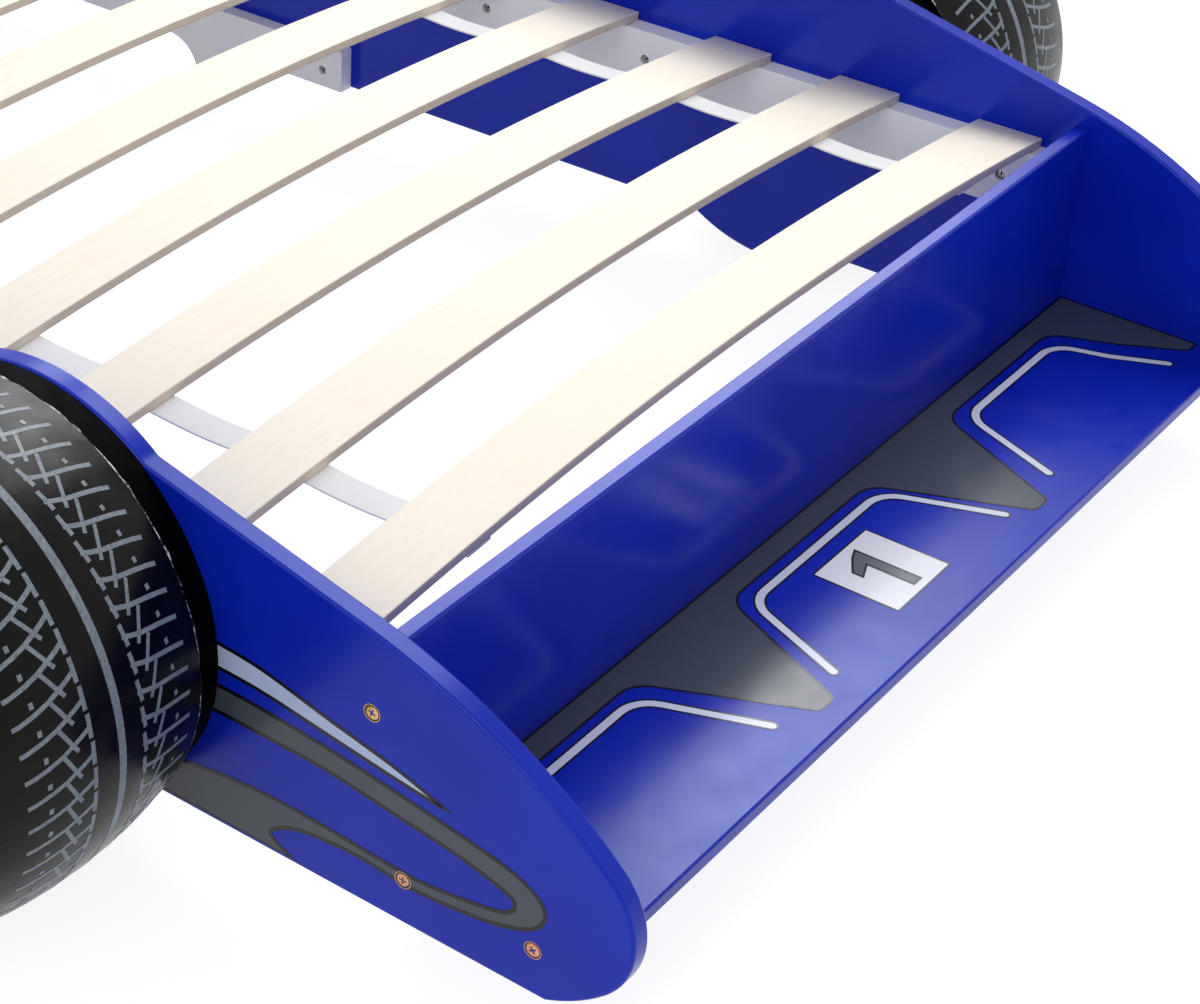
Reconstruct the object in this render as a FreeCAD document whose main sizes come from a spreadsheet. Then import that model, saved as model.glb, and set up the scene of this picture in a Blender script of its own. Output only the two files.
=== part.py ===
"""A low child's bed in the shape of a racing car.

Millimetres, +Z up, +Y to the rear, X across the bed. The origin is on the floor, in the middle of
the bed's length and width. The sheet's lengths along the bed are counted from the front face of
the front cross board, and its heights from the floor, unless a line says otherwise.
"""

import FreeCAD, Part
import math
import os

import Sketcher
from FreeCAD import Placement, Rotation, Vector

doc = FreeCAD.newDocument("CarBed")
sheet = doc.addObject("Spreadsheet::Sheet", "Sizes")

SIDES = {"left": -1, "right": 1}

# ---------------------------------------------------------------- driving dimensions

DRIVING = {
    # boards
    "inner_width": 905,          # between the side boards
    "bay_length": 2005,          # between the cross boards
    "panel_thickness": 15,       # side boards
    "board_thickness": 12,       # cross boards, shelf and wing
    "edge_ease": 2,              # rounding of the boards' edges
    "underside": 38,             # lower edge of the boards above the floor
    "side_height": 300,          # top of the side boards between the wheels
    "split_place": 950,          # where the side boards' halves meet
    # nose of the side board: three arcs that run into each other, then a straight slope
    "nose_reach": 186.2,         # tip of the nose ahead of the cross board
    "nose_radius": 60.2,
    "nose_rise": 70.4,           # centre of the nose's arc above the lower edge
    "chin_radius": 134,
    "chin_angle": 45,            # where the chin's arc meets the nose's, below level
    "crown_radius": 400,
    "crown_angle": 47.3,         # where the crown's arc meets the nose's, above level
    "deck_slope": 13.18,         # slope of the top edge up to the wheel
    # round lobes behind the wheels
    "wheel_place": 277.5,        # front wheels' centre
    "wheel_base": 1460,          # from the front wheels to the rear ones
    "lobe_radius": 152,
    # tail of the side board
    "tail_reach": 75,            # behind the rear cross board
    "tail_radius": 60,
    "fin_height": 470,
    "fin_length": 150,
    "fin_radius": 45,
    "fin_sweep_radius": 260,
    "fin_sweep_drop": 20,        # the sweep starts on the lobe, this far below side_height
    # cross boards, shelf and wing
    "front_board_height": 230.7,
    "wing_drop": 52,             # underside of the rear wing below the fin's top
    "shelf_height": 76.5,        # top face of the front shelf
    "shelf_depth": 152,          # ahead of the cross board
    "wing_depth": 82,            # rear wing, from the rear board's inner face
    # slats and what carries them
    "rail_height": 53,
    "rail_thickness": 18,
    "rail_lift": 164.6,          # top of the rails above the side boards' lower edge
    "slat_count": 15,
    "slat_pitch": 131,
    "slat_first": 37.5,          # front edge of the first slat
    "slat_width": 58,
    "slat_thickness": 8,
    "slat_gap": 1.5,             # between a slat's end and the side board
    "slat_bow": 26,
    "slat_skew": -0.8,           # the third slat sits a little askew
    "tape_width": 24,
    "tape_thickness": 1.5,
    "tape_place": 320,           # webbing band from the middle of the bed
    "tape_sag": 5,
    "tape_clearance": 0.05,
    # joining plates with the middle feet
    "plate_thickness": 15,
    "plate_height": 42.5,
    "plate_front": 757,
    "plate_length": 360,
    "plate_corner": 18,
    "foot_front": 915,
    "foot_length": 30,
    # hollow moulded tyre shells and their rims
    "tyre_width": 220,
    "tyre_radius": 168,          # at mid width, where it stands on the floor
    "tyre_back_radius": 150,     # against the side board
    "tyre_wall": 3,
    "tyre_thinning": 4.5,        # wall at the foot of the shoulder
    "shoulder_radius": 32,
    "rim_radius": 98,
    "rim_depth": 16,             # the rim's seat inside the tyre's outer face
    "rim_clearance": 0.3,
    "lip_width": 8,
    "mount_ring_inner": 78,      # ring in the tyre's back that takes the screws
    "mount_ring_outer": 106,
    "mount_ring_thickness": 12,
    "dish_depth": 15,
    "dish_radius": 70,
    "dish_flare": 14,
    "dish_step": 1,              # the dish's back is this much wider than its front
    "cap_radius": 26,
    "cap_flare": 8,
    "cap_height": 16,
    "window_inner": 40,
    "window_outer": 64,
    "window_half_angle": 23,
    "spoke_count": 5,
    # screws
    "shank": 4,
    "head": 8,
    "hole_clearance": 0.2,
    "board_screw_length": 50,
    "front_board_screw_drop": 42.7,  # below the front board's top
    "shelf_screw_front": -117.4,
    "shelf_screw_rear": -20.4,
    "rear_board_screw_low": 120,
    "rear_board_screw_drop": 78,  # upper screw below the rear board's top
    "wing_screw_margin": 25,
    "recess_depth": 6,
    "recess_clearance": 0.5,     # round the head in its recess
    "recess_head_height": 3,
    "rail_screw_first": 50,      # from the front end of each rail
    "rail_screw_last": 81,       # from the rear end of each rail
    "rail_screw_count": 6,       # in each rail
    "rail_screw_bite": 11,       # into the side board
    "plate_screw_rise": 17,      # above the plate's lower edge
    "plate_screw_margin": 24,
    "plate_screw_pitch": 80,
    "wheel_screw_circle": 92,
    "wheel_screw_count": 3,
    "wheel_screw_angle": 100,
    "wheel_screw_bite": 10,      # into the tyre's mounting ring
}

# ---------------------------------------------------------------- dimensions that follow

FOLLOWING = {
    "bed_length": "nose_reach + 2 * board_thickness + bay_length + tail_reach",
    "front_face": "nose_reach - bed_length / 2",
    "outer_face": "inner_width / 2 + panel_thickness",
    "bay_front": "board_thickness",
    "bay_rear": "board_thickness + bay_length",
    "rear_face": "bay_rear + board_thickness",
    "back_end": "rear_face + tail_reach",
    "rear_board_height": "fin_height - wing_drop",
    "rear_board_screw_high": "rear_board_height - rear_board_screw_drop",
    # nose
    "nose_y": "nose_radius - nose_reach",
    "nose_z": "underside + nose_rise",
    "chin_top_y": "nose_y - nose_radius * cos(chin_angle)",
    "chin_top_z": "nose_z - nose_radius * sin(chin_angle)",
    "chin_y": "nose_y + (chin_radius - nose_radius) * cos(chin_angle)",
    "chin_z": "nose_z + (chin_radius - nose_radius) * sin(chin_angle)",
    "chin_foot_y": "chin_y - sqrt(chin_radius ^ 2 - (chin_z - underside) ^ 2)",
    "crown_start_y": "nose_y - nose_radius * cos(crown_angle)",
    "crown_start_z": "nose_z + nose_radius * sin(crown_angle)",
    "crown_y": "nose_y + (crown_radius - nose_radius) * cos(crown_angle)",
    "crown_z": "nose_z - (crown_radius - nose_radius) * sin(crown_angle)",
    "deck_start_y": "crown_y - crown_radius * sin(deck_slope)",
    "deck_start_z": "crown_z + crown_radius * cos(deck_slope)",
    # where the sloping top edge runs into the front lobe
    "deck_grade": "tan(deck_slope)",
    "wheel_height": "tyre_radius",
    "deck_drop": "wheel_height - deck_start_z + deck_grade * deck_start_y",
    "deck_run": "1 + deck_grade ^ 2",
    "deck_miss": "deck_drop - deck_grade * wheel_place",
    "deck_half": "sqrt(lobe_radius ^ 2 * deck_run - deck_miss ^ 2)",
    "notch_y": "(wheel_place + deck_grade * deck_drop - deck_half) / deck_run",
    "notch_z": "deck_start_z + deck_grade * (notch_y - deck_start_y)",
    # half widths of a lobe at the lower edge, at the top edge and at the foot of the fin's sweep
    "lobe_half_low": "sqrt(lobe_radius ^ 2 - (wheel_height - underside) ^ 2)",
    "lobe_half_top": "sqrt(lobe_radius ^ 2 - (side_height - wheel_height) ^ 2)",
    "sweep_z": "side_height - fin_sweep_drop",
    "lobe_half_sweep": "sqrt(lobe_radius ^ 2 - (sweep_z - wheel_height) ^ 2)",
    "rear_wheel_place": "wheel_place + wheel_base",
    # slats
    "rail_top": "underside + rail_lift",
    "rail_low": "rail_top - rail_height",
    "rail_length": "bay_length / 2",
    "slat_half": "inner_width / 2 - slat_gap",
    "slat_radius": "(slat_half ^ 2 + slat_bow ^ 2) / (2 * slat_bow)",
    "slat_outer_radius": "slat_radius + slat_thickness",
    "slat_top_half": "slat_half * slat_outer_radius / slat_radius",
    "slat_top_end": "(slat_radius - slat_bow) * slat_thickness / slat_radius",
    "tape_slope": "tape_place / slat_radius",
    "tape_fall": "slat_radius - sqrt(slat_radius ^ 2 - tape_place ^ 2)",
    "tape_z": "rail_top + slat_bow - tape_fall - tape_clearance",
    "tape_span": "slat_pitch - slat_width",
    "tape_radius": "(tape_span ^ 2 / 4 + tape_sag ^ 2) / (2 * tape_sag)",
    # joining plate
    "plate_rear": "plate_front + plate_length",
    "plate_top": "underside + plate_height",
    "foot_rear": "foot_front + foot_length",
    # tyre, as distances out from the side board and from the wheel's axis
    "tyre_crown": "tyre_radius - tyre_back_radius",
    "tyre_arc": "(tyre_width ^ 2 / 4 + tyre_crown ^ 2) / (2 * tyre_crown)",
    "shoulder_out": "tyre_width - shoulder_radius",
    "shoulder_sine": "(shoulder_out - tyre_width / 2) / (tyre_arc - shoulder_radius)",
    "shoulder_cosine": "sqrt(1 - shoulder_sine ^ 2)",
    "shoulder_up": "tyre_radius - tyre_arc + (tyre_arc - shoulder_radius) * shoulder_cosine",
    "tread_end_out": "tyre_width / 2 + tyre_arc * shoulder_sine",
    "tread_end_up": "tyre_radius - tyre_arc + tyre_arc * shoulder_cosine",
    "seat_out": "tyre_width - rim_depth",
    "lip_radius": "rim_radius - lip_width",
    "rim_edge": "rim_radius - rim_clearance",
    # screws
    "shank_hole": "shank + 2 * hole_clearance",
    "recess_width": "head + 2 * recess_clearance",
    "board_screw_bite": "board_screw_length - panel_thickness",
    "front_board_screw_height": "front_board_height - front_board_screw_drop",
    "shelf_mid": "shelf_height - board_thickness / 2",
    "wing_mid": "rear_board_height + board_thickness / 2",
    "rail_mid": "rail_top - rail_height / 2",
    "rail_screw_span": "rail_length - rail_screw_first - rail_screw_last",
    "rail_screw_pitch": "rail_screw_span / (rail_screw_count - 1)",
    "rail_screw_length": "rail_thickness - recess_depth + rail_screw_bite",
    "plate_mid": "underside + plate_screw_rise",
    "wheel_screw_length": "panel_thickness + wheel_screw_bite",
}


def fill_sheet():
    """Writes a line for each size: its name, and its value or how it follows from the others."""
    row = 0
    for name, value in {**DRIVING, **FOLLOWING}.items():
        row += 1
        sheet.set(f"A{row}", name)
        sheet.set(f"B{row}", f"={value}" if name in FOLLOWING else str(value))
        sheet.setAlias(f"B{row}", name)
    doc.recompute()


fill_sheet()


def size(name):
    """The present value of one of the sheet's lines."""
    return float(sheet.get(name))


def bound(text):
    """An expression on the sheet's lines, as the document writes it."""
    words = []
    word = ""
    for letter in text + " ":
        if letter.isalpha() or letter == "_":
            word += letter
            continue
        words.append(f"Sizes.{word}" if "_" in word or word in DRIVING else word)
        words.append(letter)
        word = ""
    return "".join(words).strip()


def value_of(text):
    """The present value of such an expression."""
    return float(sheet.evalExpression(bound(text)))


# ---------------------------------------------------------------- drawing helpers

def new_body(name, x="0", y="0", z="0"):
    """A body named for its node, placed from the sheet."""
    body = doc.addObject("PartDesign::Body", name)
    body.Label = name
    for axis, text in zip("xyz", (x, y, z)):
        body.setExpression(f"Placement.Base.{axis}", bound(text))
    return body


def new_sketch(body, name, plane, lift=None):
    """An empty sketch on one of the body's own planes, lifted off it by an expression."""
    sketch = body.newObject("Sketcher::SketchObject", f"{body.Name}_{name}")
    base = next(part for part in body.Origin.OriginFeatures if part.Role == plane)
    sketch.AttachmentSupport = [(base, "")]
    sketch.MapMode = "FlatFace"
    if lift:
        sketch.setExpression("AttachmentOffset.Base.z", bound(lift))
    return sketch


def hold(sketch, kind, place, text):
    """Adds a dimension to the sketch and ties it to the sheet."""
    index = sketch.addConstraint(Sketcher.Constraint(kind, *place, value_of(text)))
    sketch.setExpression(f"Constraints[{index}]", bound(text))


def arc_between(start, end, radius):
    """The short arc from start to end, turning left for a positive radius and right otherwise."""
    chord = end - start
    left = Vector(-chord.y, chord.x, 0).normalize()
    reach = math.sqrt(radius ** 2 - (chord.Length / 2) ** 2)
    centre = (start + end) / 2 + left * math.copysign(reach, radius)
    first, last = (start, end) if radius > 0 else (end, start)
    circle = Part.Circle(centre, Vector(0, 0, 1), abs(radius))
    angles = [math.atan2(*reversed((point - centre)[:2])) for point in (first, last)]
    return Part.ArcOfCircle(circle, *angles)


def draw_outline(sketch, stops):
    """Draws a closed outline through its stops: across, up, and the radius of the edge that follows.

    Each stop is held by two dimensions and each arc by its radius, all tied to the sheet. The arc
    turns left for a positive radius and right for one with a minus sign.
    """
    points = [Vector(value_of(stop[0]), value_of(stop[1]), 0) for stop in stops]
    ends = []
    for place, stop in enumerate(stops):
        start = points[place]
        end = points[(place + 1) % len(points)]
        if len(stop) == 2:
            edge = sketch.addGeometry(Part.LineSegment(start, end))
            ends.append(((edge, 1), (edge, 2)))
            continue
        radius = value_of(stop[2])
        edge = sketch.addGeometry(arc_between(start, end, radius))
        ends.append(((edge, 1), (edge, 2)) if radius > 0 else ((edge, 2), (edge, 1)))
    for place, stop in enumerate(stops):
        before = ends[place - 1][1]
        after = ends[place][0]
        sketch.addConstraint(Sketcher.Constraint("Coincident", *before, *after))
        hold(sketch, "DistanceX", after, stop[0])
        hold(sketch, "DistanceY", after, stop[1])
        if len(stop) == 3:
            hold(sketch, "Radius", after[:1], stop[2].lstrip("-"))


def draw_circles(sketch, places, diameter):
    """Draws a circle at each place."""
    for across, up in places:
        centre = Vector(value_of(across), value_of(up), 0)
        edge = sketch.addGeometry(Part.Circle(centre, Vector(0, 0, 1), value_of(diameter) / 2))
        hold(sketch, "Diameter", (edge,), diameter)
        hold(sketch, "DistanceX", (edge, 3), across)
        hold(sketch, "DistanceY", (edge, 3), up)


def add_pad(body, name, plane, stops, depth, lift=None, reverse=False, middle=False):
    """Pads an outline on one of the body's planes."""
    sketch = new_sketch(body, f"{name}_outline", plane, lift)
    draw_outline(sketch, stops)
    pad = body.newObject("PartDesign::Pad", f"{body.Name}_{name}")
    pad.Profile = sketch
    pad.setExpression("Length", bound(depth))
    pad.Reversed = reverse
    pad.Midplane = middle
    doc.recompute()
    return pad


def add_revolution(body, name, stops):
    """Turns an outline about the wheel's axis, which lies along X."""
    sketch = new_sketch(body, f"{name}_outline", "XZ_Plane")
    draw_outline(sketch, stops)
    turn = body.newObject("PartDesign::Revolution", f"{body.Name}_{name}")
    turn.Profile = sketch
    turn.ReferenceAxis = (sketch, ["H_Axis"])
    turn.Angle = 360
    doc.recompute()
    return turn


def add_holes(body, name, places, face, inward, depth=None, width="shank_hole", cut=None):
    """Drills round holes along X from the plane x = face, towards +X where inward is 1.

    Without a depth they go right through. A cut widens their mouth for the screw's head.
    """
    sketch = new_sketch(body, f"{name}_places", "YZ_Plane", face)
    draw_circles(sketch, places, width)
    hole = body.newObject("PartDesign::Hole", f"{body.Name}_{name}")
    hole.Profile = sketch
    doc.recompute()
    before = body.Tip.BaseFeature.Shape.Volume if body.Tip == hole else body.Shape.Volume
    hole.ThreadType = "None"
    hole.setExpression("Diameter", bound(width))
    hole.DrillPoint = "Flat"
    hole.Reversed = inward > 0
    if depth:
        hole.DepthType = "Dimension"
        hole.setExpression("Depth", bound(depth))
    else:
        hole.DepthType = "ThroughAll"
    if cut == "countersunk":
        hole.HoleCutType = "Countersink"
        hole.HoleCutCustomValues = True
        hole.setExpression("HoleCutDiameter", bound("head"))
        hole.HoleCutCountersinkAngle = 90
    if cut == "recessed":
        hole.HoleCutType = "Counterbore"
        hole.HoleCutCustomValues = True
        hole.setExpression("HoleCutDiameter", bound("recess_width"))
        hole.setExpression("HoleCutDepth", bound("recess_depth"))
    doc.recompute()
    if not hole.Shape.Volume < before - 1:
        raise ValueError(f"{hole.Name} cuts nothing")
    return hole


def ease_edges(body, keep):
    """Rounds the edges of the body's tip that keep(edge) picks."""
    solid = body.Tip
    names = [f"Edge{n + 1}" for n, edge in enumerate(solid.Shape.Edges) if keep(edge)]
    fillet = body.newObject("PartDesign::Fillet", f"{body.Name}_eased")
    fillet.Base = (solid, names)
    fillet.setExpression("Radius", bound("edge_ease"))
    doc.recompute()
    return fillet


def box_stops(low, high):
    """A rectangle's four corners, from two opposite ones."""
    return [low, (high[0], low[1]), high, (low[0], high[1])]


# ---------------------------------------------------------------- side boards

def lobe_stops(centre):
    """The part of a wheel lobe that hangs below the side board's lower edge, going to the rear."""
    return [
        (f"{centre} - lobe_half_low", "underside", "lobe_radius"),
        (f"{centre} + lobe_half_low", "underside"),
    ]


def front_outline():
    """Chin, then the lower edge to the rear, up at the split and back over the lobe and the nose."""
    return [
        ("chin_foot_y", "underside"),
        *lobe_stops("wheel_place"),
        ("split_place", "underside"),
        ("split_place", "side_height"),
        ("wheel_place + lobe_half_top", "side_height", "lobe_radius"),
        ("notch_y", "notch_z"),
        ("deck_start_y", "deck_start_z", "crown_radius"),
        ("crown_start_y", "crown_start_z", "nose_radius"),
        ("chin_top_y", "chin_top_z", "chin_radius"),
    ]


def rear_outline():
    """Lower edge from the split to the tail, up the fin and back down over the lobe."""
    return [
        ("split_place", "underside"),
        *lobe_stops("rear_wheel_place"),
        ("back_end - tail_radius", "underside", "tail_radius"),
        ("back_end", "underside + tail_radius"),
        ("back_end", "fin_height - fin_radius", "fin_radius"),
        ("back_end - fin_radius", "fin_height"),
        ("back_end - fin_length", "fin_height", "-fin_sweep_radius"),
        ("rear_wheel_place + lobe_half_sweep", "sweep_z", "lobe_radius"),
        ("rear_wheel_place - lobe_half_top", "side_height"),
        ("split_place", "side_height"),
    ]


def rail_screw_places(start):
    """Where the screws of a rail that starts there go."""
    steps = range(int(size("rail_screw_count")))
    return [(f"{start} + rail_screw_first + {n} * rail_screw_pitch", "rail_mid") for n in steps]


def plate_screw_places():
    """Two screws near each end of a joining plate."""
    return [
        ("plate_front + plate_screw_margin", "plate_mid"),
        ("plate_front + plate_screw_margin + plate_screw_pitch", "plate_mid"),
        ("plate_rear - plate_screw_margin - plate_screw_pitch", "plate_mid"),
        ("plate_rear - plate_screw_margin", "plate_mid"),
    ]


def wheel_screw_places(centre):
    """The screws of a wheel lie on a circle about its axis."""
    places = []
    for n in range(int(size("wheel_screw_count"))):
        angle = f"wheel_screw_angle + {n} * 360 / wheel_screw_count"
        across = f"{centre} + wheel_screw_circle * cos({angle})"
        places.append((across, f"wheel_height + wheel_screw_circle * sin({angle})"))
    return places


FRONT_BOARD_SCREWS = [("board_thickness / 2", "front_board_screw_height")]
SHELF_SCREWS = [("shelf_screw_front", "shelf_mid"), ("shelf_screw_rear", "shelf_mid")]
REAR_BOARD_SCREWS = [
    ("bay_rear + board_thickness / 2", "rear_board_screw_low"),
    ("bay_rear + board_thickness / 2", "rear_board_screw_high"),
]
WING_SCREWS = [
    ("bay_rear + wing_screw_margin", "wing_mid"),
    ("bay_rear + wing_depth - wing_screw_margin", "wing_mid"),
]
RAIL_STARTS = {"front": "bay_front", "rear": "bay_front + rail_length"}
WHEEL_CENTRES = {"front": "wheel_place", "rear": "rear_wheel_place"}


def side_panel(side, end):
    """Half of a side board: its outline and the holes for its screws."""
    way = SIDES[side]
    inner = "0" if way > 0 else "panel_thickness"
    outer = "panel_thickness" if way > 0 else "0"
    place = "inner_width / 2" if way > 0 else "-outer_face"
    body = new_body(f"side_panel_{side}_{end}", place, "front_face")
    add_pad(body, "board", "YZ_Plane", front_outline() if end == "front" else rear_outline(),
            "panel_thickness")
    board_screws = FRONT_BOARD_SCREWS + SHELF_SCREWS
    if end == "rear":
        board_screws = REAR_BOARD_SCREWS + WING_SCREWS
    add_holes(body, "board_screws", board_screws, outer, -way, cut="countersunk")
    add_holes(body, "wheel_screws", wheel_screw_places(WHEEL_CENTRES[end]), inner, way,
              cut="countersunk")
    add_holes(body, "rail_screws", rail_screw_places(RAIL_STARTS[end]), inner, way,
              "rail_screw_bite", "shank")
    plate_screws = plate_screw_places()[:2] if end == "front" else plate_screw_places()[2:]
    add_holes(body, "plate_screws", plate_screws, inner, way, "rail_screw_bite", "shank")
    return body


# ---------------------------------------------------------------- boards across the bed

def cross_piece(name, low, high, screws, eased):
    """A board across the bed, drawn in side view, with pilot holes for the screws in its ends."""
    body = new_body(name, "-inner_width / 2", "front_face")
    add_pad(body, "board", "YZ_Plane", box_stops(low, high), "inner_width")

    def along_and_eased(edge):
        level = (edge.BoundBox.YLength + edge.BoundBox.ZLength) < 0.01
        corner = (edge.Vertexes[0].Y, edge.Vertexes[0].Z)
        return level and any(math.dist(corner, [value_of(c) for c in spot]) < 0.01 for spot in eased)

    ease_edges(body, along_and_eased)
    add_holes(body, "left_pilots", screws, "0", 1, "board_screw_bite", "shank")
    add_holes(body, "right_pilots", screws, "inner_width", -1, "board_screw_bite", "shank")
    return body


def cross_boards():
    """The front board with its shelf, and the rear board with its wing on top."""
    front_top = ("board_thickness", "front_board_height")
    shelf_low = ("-shelf_depth", "shelf_height - board_thickness")
    wing_low = ("bay_rear", "rear_board_height")
    wing_high = ("bay_rear + wing_depth", "rear_board_height + board_thickness")
    return [
        cross_piece("front_cross_board", ("0", "underside"), front_top, FRONT_BOARD_SCREWS,
                    [("0", front_top[1]), front_top]),
        cross_piece("front_wing_shelf", shelf_low, ("0", "shelf_height"), SHELF_SCREWS,
                    [shelf_low, (shelf_low[0], "shelf_height")]),
        cross_piece("rear_cross_board", ("bay_rear", "underside"), ("rear_face", "rear_board_height"),
                    REAR_BOARD_SCREWS, [("bay_rear", "underside"), ("rear_face", "underside")]),
        cross_piece("rear_wing_board", wing_low, wing_high, WING_SCREWS,
                    [(wing_low[0], wing_high[1]), wing_high, (wing_high[0], wing_low[1])]),
    ]


# ---------------------------------------------------------------- rails, plates and slats

def slat_rail(side, end):
    """A white rail screwed to a side board, with deep recesses for the screws' heads."""
    way = SIDES[side]
    place = "inner_width / 2 - rail_thickness" if way > 0 else "-inner_width / 2"
    body = new_body(f"slat_rail_{side}_{end}", place, "front_face")
    start = RAIL_STARTS[end]
    stops = box_stops((start, "rail_low"), (f"{start} + rail_length", "rail_top"))
    add_pad(body, "board", "YZ_Plane", stops, "rail_thickness")
    face = "0" if way > 0 else "rail_thickness"
    add_holes(body, "screws", rail_screw_places(start), face, way, cut="recessed")
    return body


def joining_plate(side):
    """A plate across the joint of a side board, whose lower edge sweeps down into a foot."""
    way = SIDES[side]
    place = "inner_width / 2 - plate_thickness" if way > 0 else "-inner_width / 2"
    body = new_body(f"joining_plate_{side}", place, "front_face")
    stops = [
        ("plate_front", "underside"),
        ("foot_front - underside", "underside", "-underside"),
        ("foot_front", "0"),
        ("foot_rear", "0", "-underside"),
        ("foot_rear + underside", "underside"),
        ("plate_rear - plate_corner", "underside", "plate_corner"),
        ("plate_rear", "underside + plate_corner"),
        ("plate_rear", "plate_top"),
        ("plate_front", "plate_top"),
    ]
    add_pad(body, "board", "YZ_Plane", stops, "plate_thickness")
    face = "0" if way > 0 else "plate_thickness"
    add_holes(body, "screws", plate_screw_places(), face, way, cut="recessed")
    return body


def slat(number):
    """A bowed slat, which rests with the lower edges of its ends on the rails."""
    place = f"front_face + slat_first + {number - 1} * slat_pitch"
    body = new_body(f"slat_{number:02d}", "0", f"{place} + slat_width / 2", "rail_top")
    stops = [
        ("-slat_half", "0", "-slat_radius"),
        ("slat_half", "0"),
        ("slat_top_half", "slat_top_end", "slat_outer_radius"),
        ("-slat_top_half", "slat_top_end"),
    ]
    add_pad(body, "board", "XZ_Plane", stops, "slat_width", middle=True)
    if number == 3:
        body.setExpression("Placement.Rotation.Angle", bound("slat_skew"))
    return body


def slat_tape(side):
    """A webbing band tacked under the slats, which sags between them."""
    way = SIDES[side]
    body = new_body(f"slat_tape_{side}", f"{way} * tape_place", "front_face + slat_first", "tape_z")
    body.Placement.Rotation = Rotation(Vector(0, 1, 0), way)
    body.setExpression("Placement.Rotation.Angle", bound(f"{way} * asin(tape_slope)"))
    low = "-tape_thickness"
    flat_and_sag = [
        ("0", low),
        ("slat_width", low, "tape_radius"),
        ("slat_pitch", low),
        ("slat_pitch", "0", "-tape_radius"),
        ("slat_width", "0"),
        ("0", "0"),
    ]
    run = add_pad(body, "run", "YZ_Plane", flat_and_sag, "tape_width", middle=True)
    pattern = body.newObject("PartDesign::LinearPattern", f"{body.Name}_runs")
    pattern.Originals = [run]
    axis = next(part for part in body.Origin.OriginFeatures if part.Role == "Y_Axis")
    pattern.Direction = (axis, [""])
    pattern.setExpression("Length", bound("slat_pitch * (slat_count - 2)"))
    pattern.setExpression("Occurrences", bound("slat_count - 1"))
    body.Tip = pattern
    doc.recompute()
    end = "slat_pitch * (slat_count - 1)"
    add_pad(body, "end", "YZ_Plane", box_stops((end, low), (f"{end} + slat_width", "0")),
            "tape_width", middle=True)
    return body


# ---------------------------------------------------------------- wheels

def wheel_body(name, side, end):
    """A body on the wheel's axis, with its own X pointing out of the bed."""
    way = SIDES[side]
    body = new_body(name, f"{way} * outer_face", f"front_face + {WHEEL_CENTRES[end]}", "wheel_height")
    if way < 0:
        body.Placement.Rotation = Rotation(Vector(0, 0, 1), 180)
    return body


def tyre(side, end):
    """A hollow barrel-shaped shell, open at the back inside its mounting ring."""
    body = wheel_body(f"tyre_{side}_{end}", side, end)
    stops = [
        ("0", "mount_ring_inner"),
        ("mount_ring_thickness", "mount_ring_inner"),
        ("mount_ring_thickness", "mount_ring_outer"),
        ("tyre_wall", "mount_ring_outer"),
        ("tyre_wall", "tyre_back_radius - tyre_wall"),
        ("tyre_width / 2", "tyre_radius - tyre_wall"),
        ("tread_end_out", "tread_end_up - tyre_thinning"),
        ("tyre_width - tyre_wall", "shoulder_up"),
        ("tyre_width - tyre_wall", "rim_radius + tyre_wall"),
        ("seat_out - tyre_wall", "rim_radius + tyre_wall"),
        ("seat_out - tyre_wall", "lip_radius"),
        ("seat_out", "lip_radius"),
        ("seat_out", "rim_radius"),
        ("tyre_width - tyre_wall", "rim_radius"),
        ("tyre_width", "rim_radius + tyre_wall"),
        ("tyre_width", "shoulder_up", "shoulder_radius"),
        ("tread_end_out", "tread_end_up", "tyre_arc"),
        ("0", "tyre_back_radius"),
    ]
    add_revolution(body, "shell", stops)
    pilots = wheel_screw_places("0")
    pilots = [(across, up.replace("wheel_height + ", "")) for across, up in pilots]
    if SIDES[side] < 0:
        pilots = [(f"-({across})", up) for across, up in pilots]
    add_holes(body, "pilots", pilots, "0", 1, "wheel_screw_bite", "shank")
    return body


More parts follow.
